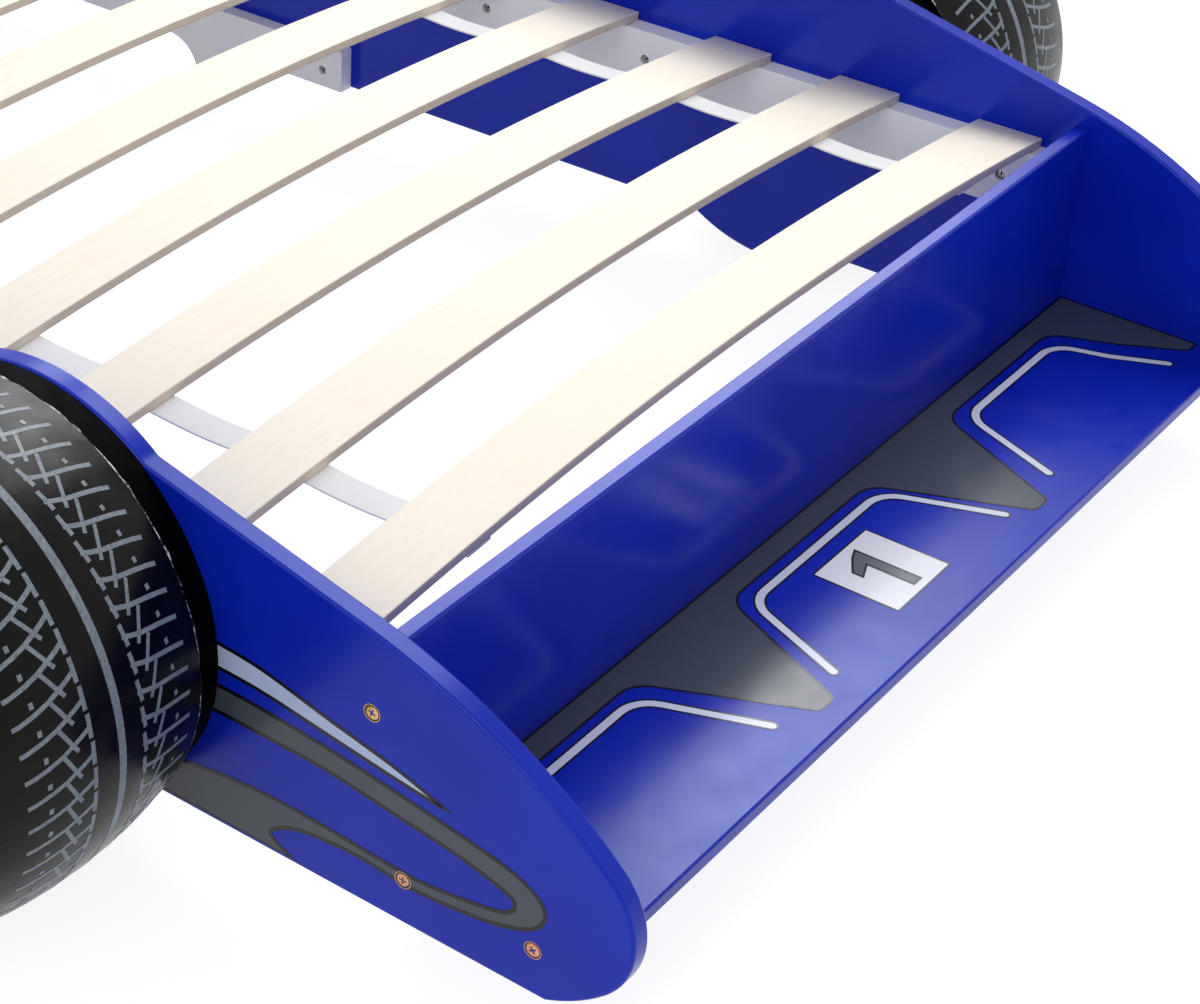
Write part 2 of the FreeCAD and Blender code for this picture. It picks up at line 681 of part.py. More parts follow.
def rim(side, end):
    """A dished wheel disc with five windows, lying on the lip inside the tyre's outer face."""
    body = wheel_body(f"rim_{side}_{end}", side, end)
    dish = "seat_out - dish_depth"
    stops = [
        (dish, "0"),
        (f"{dish} + tyre_wall + cap_height", "0"),
        (f"{dish} + tyre_wall + cap_height", "cap_radius - cap_flare"),
        (f"{dish} + tyre_wall", "cap_radius"),
        (f"{dish} + tyre_wall", "dish_radius"),
        ("seat_out + tyre_wall", "dish_radius + dish_flare"),
        ("seat_out + tyre_wall", "rim_edge"),
        ("seat_out", "rim_edge"),
        ("seat_out", "dish_radius + dish_flare + dish_step"),
        (dish, "dish_radius + dish_step"),
    ]
    disc = add_revolution(body, "disc", [(a, b) for a, b in reversed(stops)])
    corners = []
    for radius, angle in (("window_inner", "-"), ("window_outer", "-"), ("window_outer", ""),
                          ("window_inner", "")):
        corners.append((f"{radius} * cos(window_half_angle)",
                        f"{angle}{radius} * sin(window_half_angle)"))
    stops = [corners[0], (*corners[1], "window_outer"), corners[2], (*corners[3], "-window_inner")]
    sketch = new_sketch(body, "window_outline", "YZ_Plane", f"{dish} + tyre_wall")
    draw_outline(sketch, stops)
    window = body.newObject("PartDesign::Pocket", f"{body.Name}_window")
    window.Profile = sketch
    window.setExpression("Length", bound("2 * tyre_wall"))
    doc.recompute()
    pattern = body.newObject("PartDesign::PolarPattern", f"{body.Name}_windows")
    pattern.Originals = [window]
    axis = next(part for part in body.Origin.OriginFeatures if part.Role == "X_Axis")
    pattern.Axis = (axis, [""])
    pattern.Angle = 360
    pattern.setExpression("Occurrences", bound("spoke_count"))
    body.Tip = pattern
    doc.recompute()
    if not pattern.Shape.Volume < disc.Shape.Volume - 1:
        raise ValueError(f"{pattern.Name} cuts nothing")
    return body


# ---------------------------------------------------------------- screws

def screw(length, head_height, countersunk):
    """A screw along +X whose head's outer face, or underside where it is flat, lies at x = 0."""
    shank = size("shank") / 2
    head = size("head") / 2
    tip = shank
    if countersunk:
        cone = head - shank
        profile = [(0, 0), (0, head), (cone, shank)]
    else:
        profile = [(-head_height, 0), (-head_height, head), (0, head), (0, shank)]
    profile += [(length - tip, shank), (length, 0)]
    wire = Part.makePolygon([Vector(x, 0, r) for x, r in profile + profile[:1]])
    return Part.Face(wire).revolve(Vector(0, 0, 0), Vector(1, 0, 0), 360)


def screw_group(name, model, places):
    """A node of like screws: each place is x, an expression pair for y and z, and the way it points."""
    solids = []
    for x, (along, up), way in places:
        turn = Rotation(Vector(0, 0, 1), 0 if way > 0 else 180)
        spot = Vector(value_of(x), value_of(along), value_of(up))
        solid = model.copy()
        solid.Placement = Placement(spot, turn)
        solids.append(solid)
    group = doc.addObject("Part::Feature", name)
    group.Label = name
    group.Shape = Part.makeCompound(solids)
    group.Placement = Placement(Vector(0, size("front_face"), 0), Rotation())
    return group


def screws():
    """All four kinds of screws, each kind a node."""
    boards, rails, plates, wheels = [], [], [], []
    for way in SIDES.values():
        for spot in FRONT_BOARD_SCREWS + SHELF_SCREWS + REAR_BOARD_SCREWS + WING_SCREWS:
            boards.append((f"{way} * outer_face", spot, -way))
        for start in RAIL_STARTS.values():
            for spot in rail_screw_places(start):
                rails.append((f"{way} * (inner_width / 2 - rail_thickness + recess_depth)", spot, way))
        for spot in plate_screw_places():
            plates.append((f"{way} * (inner_width / 2 - plate_thickness + recess_depth)", spot, way))
        for centre in WHEEL_CENTRES.values():
            for spot in wheel_screw_places(centre):
                wheels.append((f"{way} * inner_width / 2", spot, way))
    recess_head = size("recess_head_height")
    plate_length = size("plate_thickness") - size("recess_depth") + size("rail_screw_bite")
    return [
        screw_group("board_screws", screw(size("board_screw_length"), 0, True), boards),
        screw_group("rail_screws", screw(size("rail_screw_length"), recess_head, False), rails),
        screw_group("joining_plate_screws", screw(plate_length, recess_head, False), plates),
        screw_group("wheel_screws", screw(size("wheel_screw_length"), 0, True), wheels),
    ]


# ---------------------------------------------------------------- the whole bed

def build():
    """Every separate piece of the bed."""
    pieces = cross_boards()
    for side in SIDES:
        for end in WHEEL_CENTRES:
            pieces.append(side_panel(side, end))
            pieces.append(slat_rail(side, end))
            pieces.append(tyre(side, end))
            pieces.append(rim(side, end))
        pieces.append(joining_plate(side))
        pieces.append(slat_tape(side))
    pieces += [slat(number) for number in range(1, int(size("slat_count")) + 1)]
    pieces += screws()
    return pieces


def check(pieces):
    """Stops where a feature failed or a piece is not one sound shape."""
    for thing in doc.Objects:
        if {"Invalid", "Error"} & set(thing.State):
            raise ValueError(f"{thing.Name} failed: {thing.State}")
    for piece in pieces:
        if piece.Shape.isNull() or not piece.Shape.isValid():
            raise ValueError(f"{piece.Name} has no sound shape")


pieces = build()
doc.recompute()
check(pieces)
os.makedirs("parts", exist_ok=True)
for piece in pieces:
    piece.Shape.exportStep(f"parts/{piece.Label}.step")
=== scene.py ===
import math

import bmesh
import bpy
from mathutils import Matrix, Vector

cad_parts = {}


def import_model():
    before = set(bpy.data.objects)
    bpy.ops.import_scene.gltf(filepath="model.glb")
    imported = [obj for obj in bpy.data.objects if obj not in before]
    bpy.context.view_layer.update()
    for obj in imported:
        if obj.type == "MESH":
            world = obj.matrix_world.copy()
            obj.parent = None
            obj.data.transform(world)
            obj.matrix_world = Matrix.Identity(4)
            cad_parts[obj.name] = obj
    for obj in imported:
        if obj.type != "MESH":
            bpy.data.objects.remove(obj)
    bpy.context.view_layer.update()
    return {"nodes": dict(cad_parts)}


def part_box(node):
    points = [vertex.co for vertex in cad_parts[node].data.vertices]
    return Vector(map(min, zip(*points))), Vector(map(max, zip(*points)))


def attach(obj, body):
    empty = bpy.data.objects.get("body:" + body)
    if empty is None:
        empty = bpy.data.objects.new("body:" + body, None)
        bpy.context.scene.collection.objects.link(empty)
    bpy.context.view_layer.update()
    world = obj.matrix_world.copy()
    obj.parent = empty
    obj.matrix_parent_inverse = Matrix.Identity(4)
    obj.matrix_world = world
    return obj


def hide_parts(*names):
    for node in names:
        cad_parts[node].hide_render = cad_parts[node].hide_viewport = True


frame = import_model()

# Every size below is in millimetres. Lengths along the bed are counted from the front face of the
# front cross board, heights from the floor, and x from the bed's middle plane.

MM = 0.001
BODY = "root"
SIDES = {"left": -1, "right": 1}


def box_mm(node):
    """A CAD node's lowest and highest corner, in millimetres."""
    low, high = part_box(node)
    return [v / MM for v in low], [v / MM for v in high]


# ---------------------------------------------------------------- sizes read from the frame

cross_low, cross_high = box_mm("front_cross_board")
shelf_low, shelf_high = box_mm("front_wing_shelf")
front_low, front_high = box_mm("side_panel_right_front")
rear_high = box_mm("side_panel_right_rear")[1]
rail_low, rail_high = box_mm("slat_rail_right_front")
plate_low, plate_high = box_mm("joining_plate_right")
tyre_low, tyre_high = box_mm("tyre_right_front")
rear_tyre_low, rear_tyre_high = box_mm("tyre_right_rear")
rear_board_low, rear_board_high = box_mm("rear_cross_board")
wing_low, wing_high = box_mm("rear_wing_board")
first_slat_low, first_slat_high = box_mm("slat_01")

FRONT = cross_low[1]
INNER = cross_high[0]
OUTER = front_high[0]
UNDERSIDE = cross_low[2]
SHELF_TOP = shelf_high[2]
SPLIT = front_high[1] - FRONT
BACK_END = rear_high[1] - FRONT
NOSE_REACH = FRONT - front_low[1]
WHEEL_HEIGHT = tyre_high[2] / 2
WHEELS = {
    "front": (tyre_low[1] + tyre_high[1]) / 2 - FRONT,
    "rear": (rear_tyre_low[1] + rear_tyre_high[1]) / 2 - FRONT,
}
LOBE_RADIUS = WHEEL_HEIGHT - front_low[2]
FIN_HEIGHT = rear_high[2]
TYRE_WIDTH = tyre_high[0] - OUTER
TYRE_RADIUS = WHEEL_HEIGHT

# ---------------------------------------------------------------- sizes of the side boards

SIDE_HEIGHT = 300
EDGE_EASE = 2.2
NOSE_RADIUS = 60.2
NOSE_RISE = 70.4
CHIN_RADIUS = 134
CHIN_ANGLE = math.radians(45)
CROWN_RADIUS = 400
CROWN_ANGLE = math.radians(47.3)
DECK_SLOPE = math.radians(13.18)
TAIL_RADIUS = 60
FIN_LENGTH = 150
FIN_RADIUS = 45
FIN_SWEEP_RADIUS = 260
FIN_SWEEP_DROP = 20

# ---------------------------------------------------------------- sizes of the tyres

TYRE_BACK_RADIUS = 150
TYRE_WALL = 3
SHOULDER_RADIUS = 32
RIM_RADIUS = 98
RIM_SEAT = 16
LIP_WIDTH = 8
MOUNT_INNER = 78
MOUNT_OUTER = 106
MOUNT_THICKNESS = 12
TYRE_BACK_EASE = 5
TYRE_CROWN = TYRE_RADIUS - TYRE_BACK_RADIUS
TYRE_ARC = (TYRE_WIDTH ** 2 / 4 + TYRE_CROWN ** 2) / (2 * TYRE_CROWN)
TYRE_STEPS = 144
BAND_WIDTH = 22
BAND_STEP = 5
BAND_LIP = 1.4
PRINT_PITCHES = 57
PRINT_CENTRE = 105
PRINT_STRIPE = 6
PRINT_PHASE = 134.3
PRINT_LIFT = 0.15
PRINT_SINK = 0.3

# ---------------------------------------------------------------- sizes of slats and tapes

SLAT_COUNT = 15
SLAT_HALF = INNER - 1.5
SLAT_BOW = 26
SLAT_THICKNESS = 8
SLAT_WIDTH = first_slat_high[1] - first_slat_low[1]
SLAT_RADIUS = (SLAT_HALF ** 2 + SLAT_BOW ** 2) / (2 * SLAT_BOW)
SLAT_EDGE = 1.1
SLAT_STEPS = 28
SLAT_SKEW = {3: math.radians(-0.8)}     # the third slat lies a little askew in the photograph
RAIL_TOP = first_slat_low[2]
TAPE_PLACE = 320
TAPE_WIDTH = 24
TAPE_THICKNESS = 1.5
TAPE_SAG = 1.6
TAPE_EDGE = 0.5
TAPE_TOUCH = 0.05
TAPE_STEPS = 8
TAPE_SLOPE = math.asin(TAPE_PLACE / SLAT_RADIUS)
TAPE_TOP = RAIL_TOP + SLAT_BOW - SLAT_RADIUS * (1 - math.cos(TAPE_SLOPE)) - TAPE_TOUCH

# ---------------------------------------------------------------- sizes of screws

HEAD_RADIUS = 4
BOARD_HEAD_RADIUS = 4.8
SCREW_GAP = 1
SCREW_PROUD = 0.2
SHELF_SCREW_LIFT = 2
SHANK_RADIUS = 2
RECESS_DEPTH = 6
RECESS_HEAD = 3
BOARD_SCREW_LENGTH = 50
RAIL_SCREW_LENGTH = 23
PLATE_SCREW_LENGTH = 20
WHEEL_SCREW_LENGTH = 25
FRONT_SCREW_HEIGHT = 188
SHELF_SCREWS = (117.4, 20.4)
REAR_SCREW_HEIGHTS = (120, 340)
WING_SCREW_INSET = 25
RAIL_SCREW_COUNT = 6
RAIL_SCREW_FIRST = 50
RAIL_SCREW_PITCH = 174.3
PLATE_SCREW_INSETS = (24, 104)
PLATE_SCREW_SHARE = 0.4
WHEEL_SCREW_COUNT = 3
WHEEL_SCREW_CIRCLE = 92
WHEEL_SCREW_PHASE = 100
SCREW_POINT = 3
CROSS_ARM = 0.58
CROSS_HALF = 0.13
CROSS_DEPTH = 1.6


# ---------------------------------------------------------------- materials

def srgb(red, green, blue):
    """A colour written as it shows on a screen, 0 to 255."""
    steps = [v / 255 for v in (red, green, blue)]
    return tuple(v / 12.92 if v <= 0.04045 else ((v + 0.055) / 1.055) ** 2.4 for v in steps) + (1,)


class Look:
    """A material with its shader, and the nodes that give it its detail."""

    def __init__(self, name, **sockets):
        self.material = bpy.data.materials.new(name)
        self.material.use_nodes = True
        self.tree = self.material.node_tree
        self.shader = self.tree.nodes["Principled BSDF"]
        self.place = self.node("ShaderNodeTexCoord").outputs["Object"]
        for socket, value in sockets.items():
            self.shader.inputs[socket.replace("_", " ")].default_value = value

    def node(self, kind, **values):
        """A new node, with the given properties or socket values."""
        node = self.tree.nodes.new(kind)
        for name, value in values.items():
            if hasattr(node, name):
                setattr(node, name, value)
            else:
                node.inputs[name.replace("_", " ")].default_value = value
        return node

    def link(self, output, target):
        self.tree.links.new(output, target)

    def noise(self, scale, detail=3, stretch=(1, 1, 1), roughness=0.5):
        """Noise of that many waves a metre, from 0 to 1."""
        spread = self.node("ShaderNodeMapping")
        spread.inputs["Scale"].default_value = stretch
        self.link(self.place, spread.inputs["Vector"])
        noise = self.node("ShaderNodeTexNoise", Scale=scale, Detail=detail, Roughness=roughness)
        self.link(spread.outputs["Vector"], noise.inputs["Vector"])
        return noise.outputs["Fac"]

    def between(self, amount, low, high):
        """Spreads the middle of a noise over a range of plain values."""
        spread = self.node("ShaderNodeMapRange")
        spread.inputs["From Min"].default_value = 0.3
        spread.inputs["From Max"].default_value = 0.7
        spread.inputs["To Min"].default_value = low
        spread.inputs["To Max"].default_value = high
        self.link(amount, spread.inputs["Value"])
        return spread.outputs["Result"]

    def ramp(self, amount, stops, interpolation="LINEAR"):
        """A colour for each value of amount; stops are (value, colour)."""
        node = self.node("ShaderNodeValToRGB")
        node.color_ramp.interpolation = interpolation
        elements = node.color_ramp.elements
        elements[0].position, elements[0].color = stops[0]
        elements[1].position, elements[1].color = stops[-1]
        for position, colour in stops[1:-1]:
            elements.new(position).color = colour
        self.link(amount, node.inputs["Fac"])
        return node.outputs["Color"]

    def mix(self, amount, first, second):
        """The first colour where amount is 0 and the second where it is 1."""
        node = self.node("ShaderNodeMix", data_type="RGBA")
        self.link(amount, node.inputs["Factor"])
        for value, socket in ((first, node.inputs[6]), (second, node.inputs[7])):
            if isinstance(value, tuple):
                socket.default_value = value
            else:
                self.link(value, socket)
        return node.outputs[2]

    def colour(self, output):
        self.link(output, self.shader.inputs["Base Color"])

    def roughness(self, output):
        self.link(output, self.shader.inputs["Roughness"])

    def bump(self, height, depth):
        """Raises the surface by a pattern, depth in millimetres."""
        node = self.node("ShaderNodeBump", Distance=depth * MM)
        self.link(height, node.inputs["Height"])
        self.link(node.outputs["Normal"], self.shader.inputs["Normal"])


def lacquer(name, low, high, rough, peel, level, sheen=(1, 1, 1, 1)):
    """Sprayed lacquer: a faint cloudiness, a little uneven gloss and the spray's fine waves."""
    look = Look(name, Specular_IOR_Level=level, Specular_Tint=sheen)
    look.colour(look.ramp(look.noise(9, 4), [(0.35, low), (0.65, high)]))
    look.roughness(look.between(look.noise(35, 5), *rough))
    look.bump(look.noise(260, 3), peel)
    return look.material


def blue_lacquer():
    return lacquer("blue_lacquer", srgb(9, 32, 174), srgb(12, 40, 188), (0.2, 0.26), 0.012, 0.27,
                   (0.7, 0.86, 1, 1))


def white_lacquer():
    return lacquer("white_lacquer", srgb(242, 243, 246), srgb(249, 250, 252), (0.3, 0.42), 0.02,
                   0.4)


def print_film(name, colour, depth=0.9):
    """Printed film: its colour, a shade uneven, with the lacquer's gloss over it."""
    deeper = tuple(v * depth for v in colour[:3]) + (1,)
    return lacquer(name, deeper, colour, (0.16, 0.24), 0.008, 0.35)


def tyre_plastic():
    """Black moulded plastic: glossy, a little rippled from the mould, with dull patches."""
    look = Look("tyre_plastic", Specular_IOR_Level=0.14)
    look.colour(look.ramp(look.noise(40, 5), [(0.35, srgb(4, 4, 5)), (0.7, srgb(8, 8, 9))]))
    look.roughness(look.between(look.noise(60, 6), 0.2, 0.34))
    look.bump(look.noise(45, 3), 0.25)
    return look.material


def band_plastic_shaded():
    """The same black plastic, painted darker and nearly without gloss as the shade beside the side
    board.
    """
    look = Look("band_plastic_shaded", Specular_IOR_Level=0.02)
    # painted shade: a near-black colour for the band next to the side board
    look.colour(look.ramp(look.noise(70, 5), [(0.35, srgb(1, 1, 2)), (0.7, srgb(4, 4, 5))]))
    look.roughness(look.between(look.noise(90, 4), 0.5, 0.65))
    look.bump(look.noise(160, 4), 0.1)
    return look.material


def cut_plastic_glints():
    """The trimmed edge of the tread: black, with white spots painted on as the glints of light the
    edge catches.
    """
    look = Look("cut_plastic_glints", Specular_IOR_Level=0.3)
    # painted highlight: white spots stand in for light glinting on the trimmed edge
    spots = look.noise(130, 6, roughness=0.7)
    look.colour(look.ramp(spots, [(0.46, srgb(12, 12, 14)), (0.56, srgb(226, 226, 228))]))
    look.roughness(look.between(look.noise(300, 4), 0.3, 0.6))
    look.bump(look.noise(400, 4), 0.15)
    return look.material


def tyre_print():
    """Grey tread print, thinner in places, where the black shows through."""
    look = Look("tyre_print", Specular_IOR_Level=0.4)
    worn = look.between(look.noise(420, 6), 0, 1)
    look.colour(look.mix(worn, srgb(104, 113, 124), srgb(140, 149, 160)))
    look.roughness(look.between(look.noise(90, 4), 0.38, 0.5))
    look.bump(look.noise(500, 3), 0.02)
    return look.material


def rim_plastic():
    """Silver-painted moulded plastic with fine grain in the paint."""
    look = Look("rim_plastic", Metallic=0.55)
    grain = look.noise(900, 4)
    look.colour(look.ramp(grain, [(0.3, srgb(168, 171, 177)), (0.7, srgb(200, 203, 209))]))
    look.roughness(look.between(look.noise(45, 4), 0.28, 0.4))
    look.bump(look.noise(1200, 2), 0.01)
    return look.material


def birch():
    """Birch plywood: long grain on the pale faces, and the layers on the sawn sides."""
    look = Look("birch_plywood", Specular_IOR_Level=0.25)
    grain = look.noise(3, 8, (1, 60, 60), 0.65)
    pores = look.noise(14, 4, (1, 90, 90), 0.6)
    veneer = look.ramp(grain, [
        (0.26, srgb(246, 232, 210)),
        (0.45, srgb(250, 240, 223)),
        (0.7, srgb(252, 245, 232)),
    ])
    fine = look.ramp(pores, [(0.3, srgb(247, 235, 214)), (0.5, srgb(252, 246, 234))])
    face = look.mix(look.between(pores, 0.15, 0.5), veneer, fine)
    layers = look.node("ShaderNodeSeparateXYZ")
    look.link(look.node("ShaderNodeUVMap", uv_map="layers").outputs["UV"], layers.inputs["Vector"])
    light, dark = srgb(253, 244, 226), srgb(236, 214, 182)
    stripes = look.ramp(layers.outputs["Y"], [
        (0.0, light), (0.13, dark), (0.29, light), (0.45, dark), (0.58, light), (0.74, dark),
        (0.88, light),
    ], "CONSTANT")
    smear = look.between(look.noise(60, 5, (1, 8, 8)), 0, 0.55)
    sawn = look.mix(smear, stripes, srgb(244, 230, 206))
    edge = look.ramp(layers.outputs["X"], [(0.4, srgb(0, 0, 0)), (0.6, srgb(255, 255, 255))])
    look.colour(look.mix(edge, face, sawn))
    look.roughness(look.between(grain, 0.45, 0.6))
    look.bump(look.noise(12, 5, (1, 70, 70)), 0.08)
    return look.material


def webbing():
    """Woven band: a twill of fine ribs across and along."""
    look = Look("webbing", Specular_IOR_Level=0.2, Sheen_Weight=0.3)
    wave = "ShaderNodeTexWave"
    along = look.node(wave, Scale=130, Distortion=1.5, Detail=2, bands_direction="Y")
    across = look.node(wave, Scale=200, Distortion=1, Detail=2, bands_direction="X")
    for ribs in (along, across):
        look.link(look.place, ribs.inputs["Vector"])
    weave = look.node("ShaderNodeMath", operation="MULTIPLY")
    look.link(along.outputs["Fac"], weave.inputs[0])
    look.link(across.outputs["Fac"], weave.inputs[1])
    look.colour(look.mix(weave.outputs["Value"], srgb(236, 237, 239), srgb(250, 250, 250)))
    look.roughness(look.between(look.noise(300, 3), 0.75, 0.9))
    look.bump(weave.outputs["Value"], 0.2)
    return look.material


def metal(name, low, high):
    """Plated screw metal with fine scratches."""
    look = Look(name, Metallic=1.0)
    look.colour(look.ramp(look.noise(600, 5), [(0.3, low), (0.7, high)]))
    look.roughness(look.between(look.noise(1500, 4), 0.2, 0.42))
    look.bump(look.noise(2500, 3), 0.01)
    return look.material


BLUE = blue_lacquer()
WHITE = white_lacquer()
SLATE = print_film("slate_print", srgb(72, 80, 90))
INK = print_film("black_print", srgb(10, 11, 18))
PALE = print_film("pale_print", srgb(226, 233, 250), 0.97)
SLIVER = print_film("sliver_print", srgb(186, 202, 236), 0.95)
SIGN_WHITE = print_film("white_print", srgb(240, 243, 248), 0.98)
NUMERAL = print_film("numeral_print", srgb(98, 106, 116))
TYRE = tyre_plastic()
BAND_SHADE = band_plastic_shaded()
CUT_GLINTS = cut_plastic_glints()
TREAD = tyre_print()
RIM = rim_plastic()
BIRCH = birch()
WEBBING = webbing()
BRASS = metal("yellow_plating", srgb(196, 152, 84), srgb(226, 190, 120))
COPPER = metal("copper_plating", srgb(196, 128, 96), srgb(226, 168, 138))
STEEL = metal("steel_plating", srgb(120, 121, 124), srgb(166, 167, 170))
# painted shade: a dark film for the gaps round the board screws' heads and in the screws' cross
# recesses
GAP_SHADE = print_film("shadow_gap", srgb(14, 14, 30))


# ---------------------------------------------------------------- outlines

def arc(start, end, radius, step=math.radians(2.5)):
    """Points after start up to end on the short arc, turning left for a positive radius."""
    chord = (end - start).length
    left = Vector((start.y - end.y, end.x - start.x)) / chord
    reach = math.sqrt(max(radius ** 2 - (chord / 2) ** 2, 0))
    centre = (start + end) / 2 + left * math.copysign(reach, radius)
    sweep = 2 * math.asin(min(chord / 2 / abs(radius), 1)) * math.copysign(1, radius)
    steps = max(2, math.ceil(abs(sweep) / step))
    spoke = start - centre
    turned = []
    for n in range(1, steps + 1):
        angle = sweep * n / steps
        turned.append(centre + Matrix.Rotation(angle, 2) @ spoke)
    return turned


def trace(stops):
    """A closed outline through stops: across, up, and the radius of the edge that follows."""
    points = []
    for place, stop in enumerate(stops):
        start = Vector(stop[:2])
        end = Vector(stops[(place + 1) % len(stops)][:2])
        points += [end] if len(stop) == 2 else arc(start, end, stop[2])
    return points


def rounded(corners, closed=True):
    """A line through corners, each given as across, up and the radius it is rounded by."""
    points = []
    count = len(corners)
    for place, (across, up, radius) in enumerate(corners):
        here = Vector((across, up))
        inside = closed or 0 < place < count - 1
        if not radius or not inside:
            points.append(here)
            continue
        back = (Vector(corners[place - 1][:2]) - here).normalized()
        ahead = (Vector(corners[(place + 1) % count][:2]) - here).normalized()
        half = back.angle(ahead) / 2
        cut = radius / math.tan(half)
        start = here + back * cut
        end = here + ahead * cut
        turn = math.copysign(1, ahead.x * back.y - ahead.y * back.x)
        points += [start] + arc(start, end, turn * radius, math.radians(12))
    return points


def curve(stops, steps=6):
    """A smooth open line through its stops."""
    stops = [Vector(stop) for stop in stops]
    ends = [2 * stops[0] - stops[1]] + stops + [2 * stops[-1] - stops[-2]]
    points = [stops[0]]
    for before, start, end, after in zip(ends, ends[1:], ends[2:], ends[3:]):
        for n in range(1, steps + 1):
            t = n / steps
            points.append(0.5 * (2 * start + (end - before) * t
                                 + (2 * before - 5 * start + 4 * end - after) * t ** 2
                                 + (3 * start - before - 3 * end + after) * t ** 3))
    return points


def edges_of(path, width, closed):
    """The left and the right edge of a line of that width."""
    left, right = [], []
    count = len(path)
    for place, point in enumerate(path):
        before = path[place - 1] if closed or place else point
        after = path[(place + 1) % count] if closed or place < count - 1 else point
        way = Vector((0, 0))
        for leg in (point - before, after - point):
            if leg.length:
                way += leg.normalized()
        way = way.normalized() if way.length else Vector((1, 0))
        legs = [leg.normalized() for leg in (point - before, after - point) if leg.length]
        lean = max(0.5, way.dot(legs[0])) if legs else 1
        side = Vector((-way.y, way.x)) * (width / 2 / lean)
        left.append(point + side)
        right.append(point - side)
    return left, right


def stroke(path, width):
    """The outline of a line with round ends."""
    left, right = edges_of(path, width, False)
    tail = arc(left[-1], right[-1], -width / 2, math.radians(25))
    nose = arc(right[0], left[0], -width / 2, math.radians(25))
    return left + tail + right[::-1][1:] + nose[:-1]


# ---------------------------------------------------------------- mesh building

def loft(rings, ring_closed=True, sweep_closed=False):
    """Points and faces of a skin over rings of equally many points, capped unless it closes."""
    count = len(rings[0])
    points = [point for ring in rings for point in ring]
    faces = []
    for step in range(len(rings) - (not sweep_closed)):
        low = step * count
        high = (step + 1) % len(rings) * count
        for n in range(count - (not ring_closed)):
            nxt = (n + 1) % count
            faces.append([low + n, low + nxt, high + nxt, high + n])
    if ring_closed and not sweep_closed:
        last = (len(rings) - 1) * count
        faces.append(list(range(count))[::-1])
        faces.append([last + n for n in range(count)])
    return points, faces


class Piece:
    """Gathers points and faces, and turns into one object that rides on the bed."""

    def __init__(self):
        self.points = []
        self.faces = []
        self.looks = []

    def add(self, shape, look=0):
        """Adds points and faces that have that material."""
        points, faces = shape
        start = len(self.points)
        self.points += [tuple(point) for point in points]
        self.faces += [[start + n for n in face] for face in faces]
        self.looks += [look] * len(faces)

    def make(self, name, materials, nodes=(), sharp=None):
        """The finished object."""
        mesh = bpy.data.meshes.new(name)
        mesh.from_pydata([[v * MM for v in point] for point in self.points], [], self.faces)
        mesh.polygons.foreach_set("material_index", self.looks)
        shape = bmesh.new()
        shape.from_mesh(mesh)
        bmesh.ops.recalc_face_normals(shape, faces=shape.faces)
        shape.to_mesh(mesh)
        shape.free()
        mesh.shade_smooth()
        if sharp:
            mesh.set_sharp_from_angle(angle=math.radians(sharp))
        for material in materials:
            mesh.materials.append(material)
        obj = bpy.data.objects.new(name, mesh)
        bpy.context.scene.collection.objects.link(obj)
        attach(obj, BODY)
        if nodes:
            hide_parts(*nodes)
        return obj


def ease(obj, width, segments=3, angle=35):
    """Rounds the edges of a piece and keeps its flat faces flat."""
    bevel = obj.modifiers.new("eased", "BEVEL")
    bevel.width = width * MM
    bevel.segments = segments
    bevel.limit_method = "ANGLE"
    bevel.angle_limit = math.radians(angle)
    bevel.use_clamp_overlap = True
    bevel.harden_normals = True


# ---------------------------------------------------------------- side boards

def lobe_low(centre):
    """The part of a wheel lobe below the lower edge."""
    half = math.sqrt(LOBE_RADIUS ** 2 - (WHEEL_HEIGHT - UNDERSIDE) ** 2)
    return [(centre - half, UNDERSIDE, LOBE_RADIUS), (centre + half, UNDERSIDE)]


def lobe_half(height):
    """Half of a lobe's width at that height."""
    return math.sqrt(LOBE_RADIUS ** 2 - (height - WHEEL_HEIGHT) ** 2)


def front_outline():
    """The front half of a side board."""
    nose_y = NOSE_RADIUS - NOSE_REACH
    nose_z = UNDERSIDE + NOSE_RISE
    chin_y = nose_y + (CHIN_RADIUS - NOSE_RADIUS) * math.cos(CHIN_ANGLE)
    chin_z = nose_z + (CHIN_RADIUS - NOSE_RADIUS) * math.sin(CHIN_ANGLE)
    crown_y = nose_y + (CROWN_RADIUS - NOSE_RADIUS) * math.cos(CROWN_ANGLE)
    crown_z = nose_z - (CROWN_RADIUS - NOSE_RADIUS) * math.sin(CROWN_ANGLE)
    deck_y = crown_y - CROWN_RADIUS * math.sin(DECK_SLOPE)
    deck_z = crown_z + CROWN_RADIUS * math.cos(DECK_SLOPE)
    wheel = WHEELS["front"]
    grade = math.tan(DECK_SLOPE)
    drop = WHEEL_HEIGHT - deck_z + grade * deck_y
    run = 1 + grade ** 2
    half = math.sqrt(LOBE_RADIUS ** 2 * run - (drop - grade * wheel) ** 2)
    notch_y = (wheel + grade * drop - half) / run
    return trace([
        (chin_y - math.sqrt(CHIN_RADIUS ** 2 - (chin_z - UNDERSIDE) ** 2), UNDERSIDE),
        *lobe_low(wheel),
        (SPLIT, UNDERSIDE),
        (SPLIT, SIDE_HEIGHT),
        (wheel + lobe_half(SIDE_HEIGHT), SIDE_HEIGHT, LOBE_RADIUS),
        (notch_y, deck_z + grade * (notch_y - deck_y)),
        (deck_y, deck_z, CROWN_RADIUS),
        (nose_y - NOSE_RADIUS * math.cos(CROWN_ANGLE),
         nose_z + NOSE_RADIUS * math.sin(CROWN_ANGLE), NOSE_RADIUS),
        (nose_y - NOSE_RADIUS * math.cos(CHIN_ANGLE),
         nose_z - NOSE_RADIUS * math.sin(CHIN_ANGLE), CHIN_RADIUS),
    ])


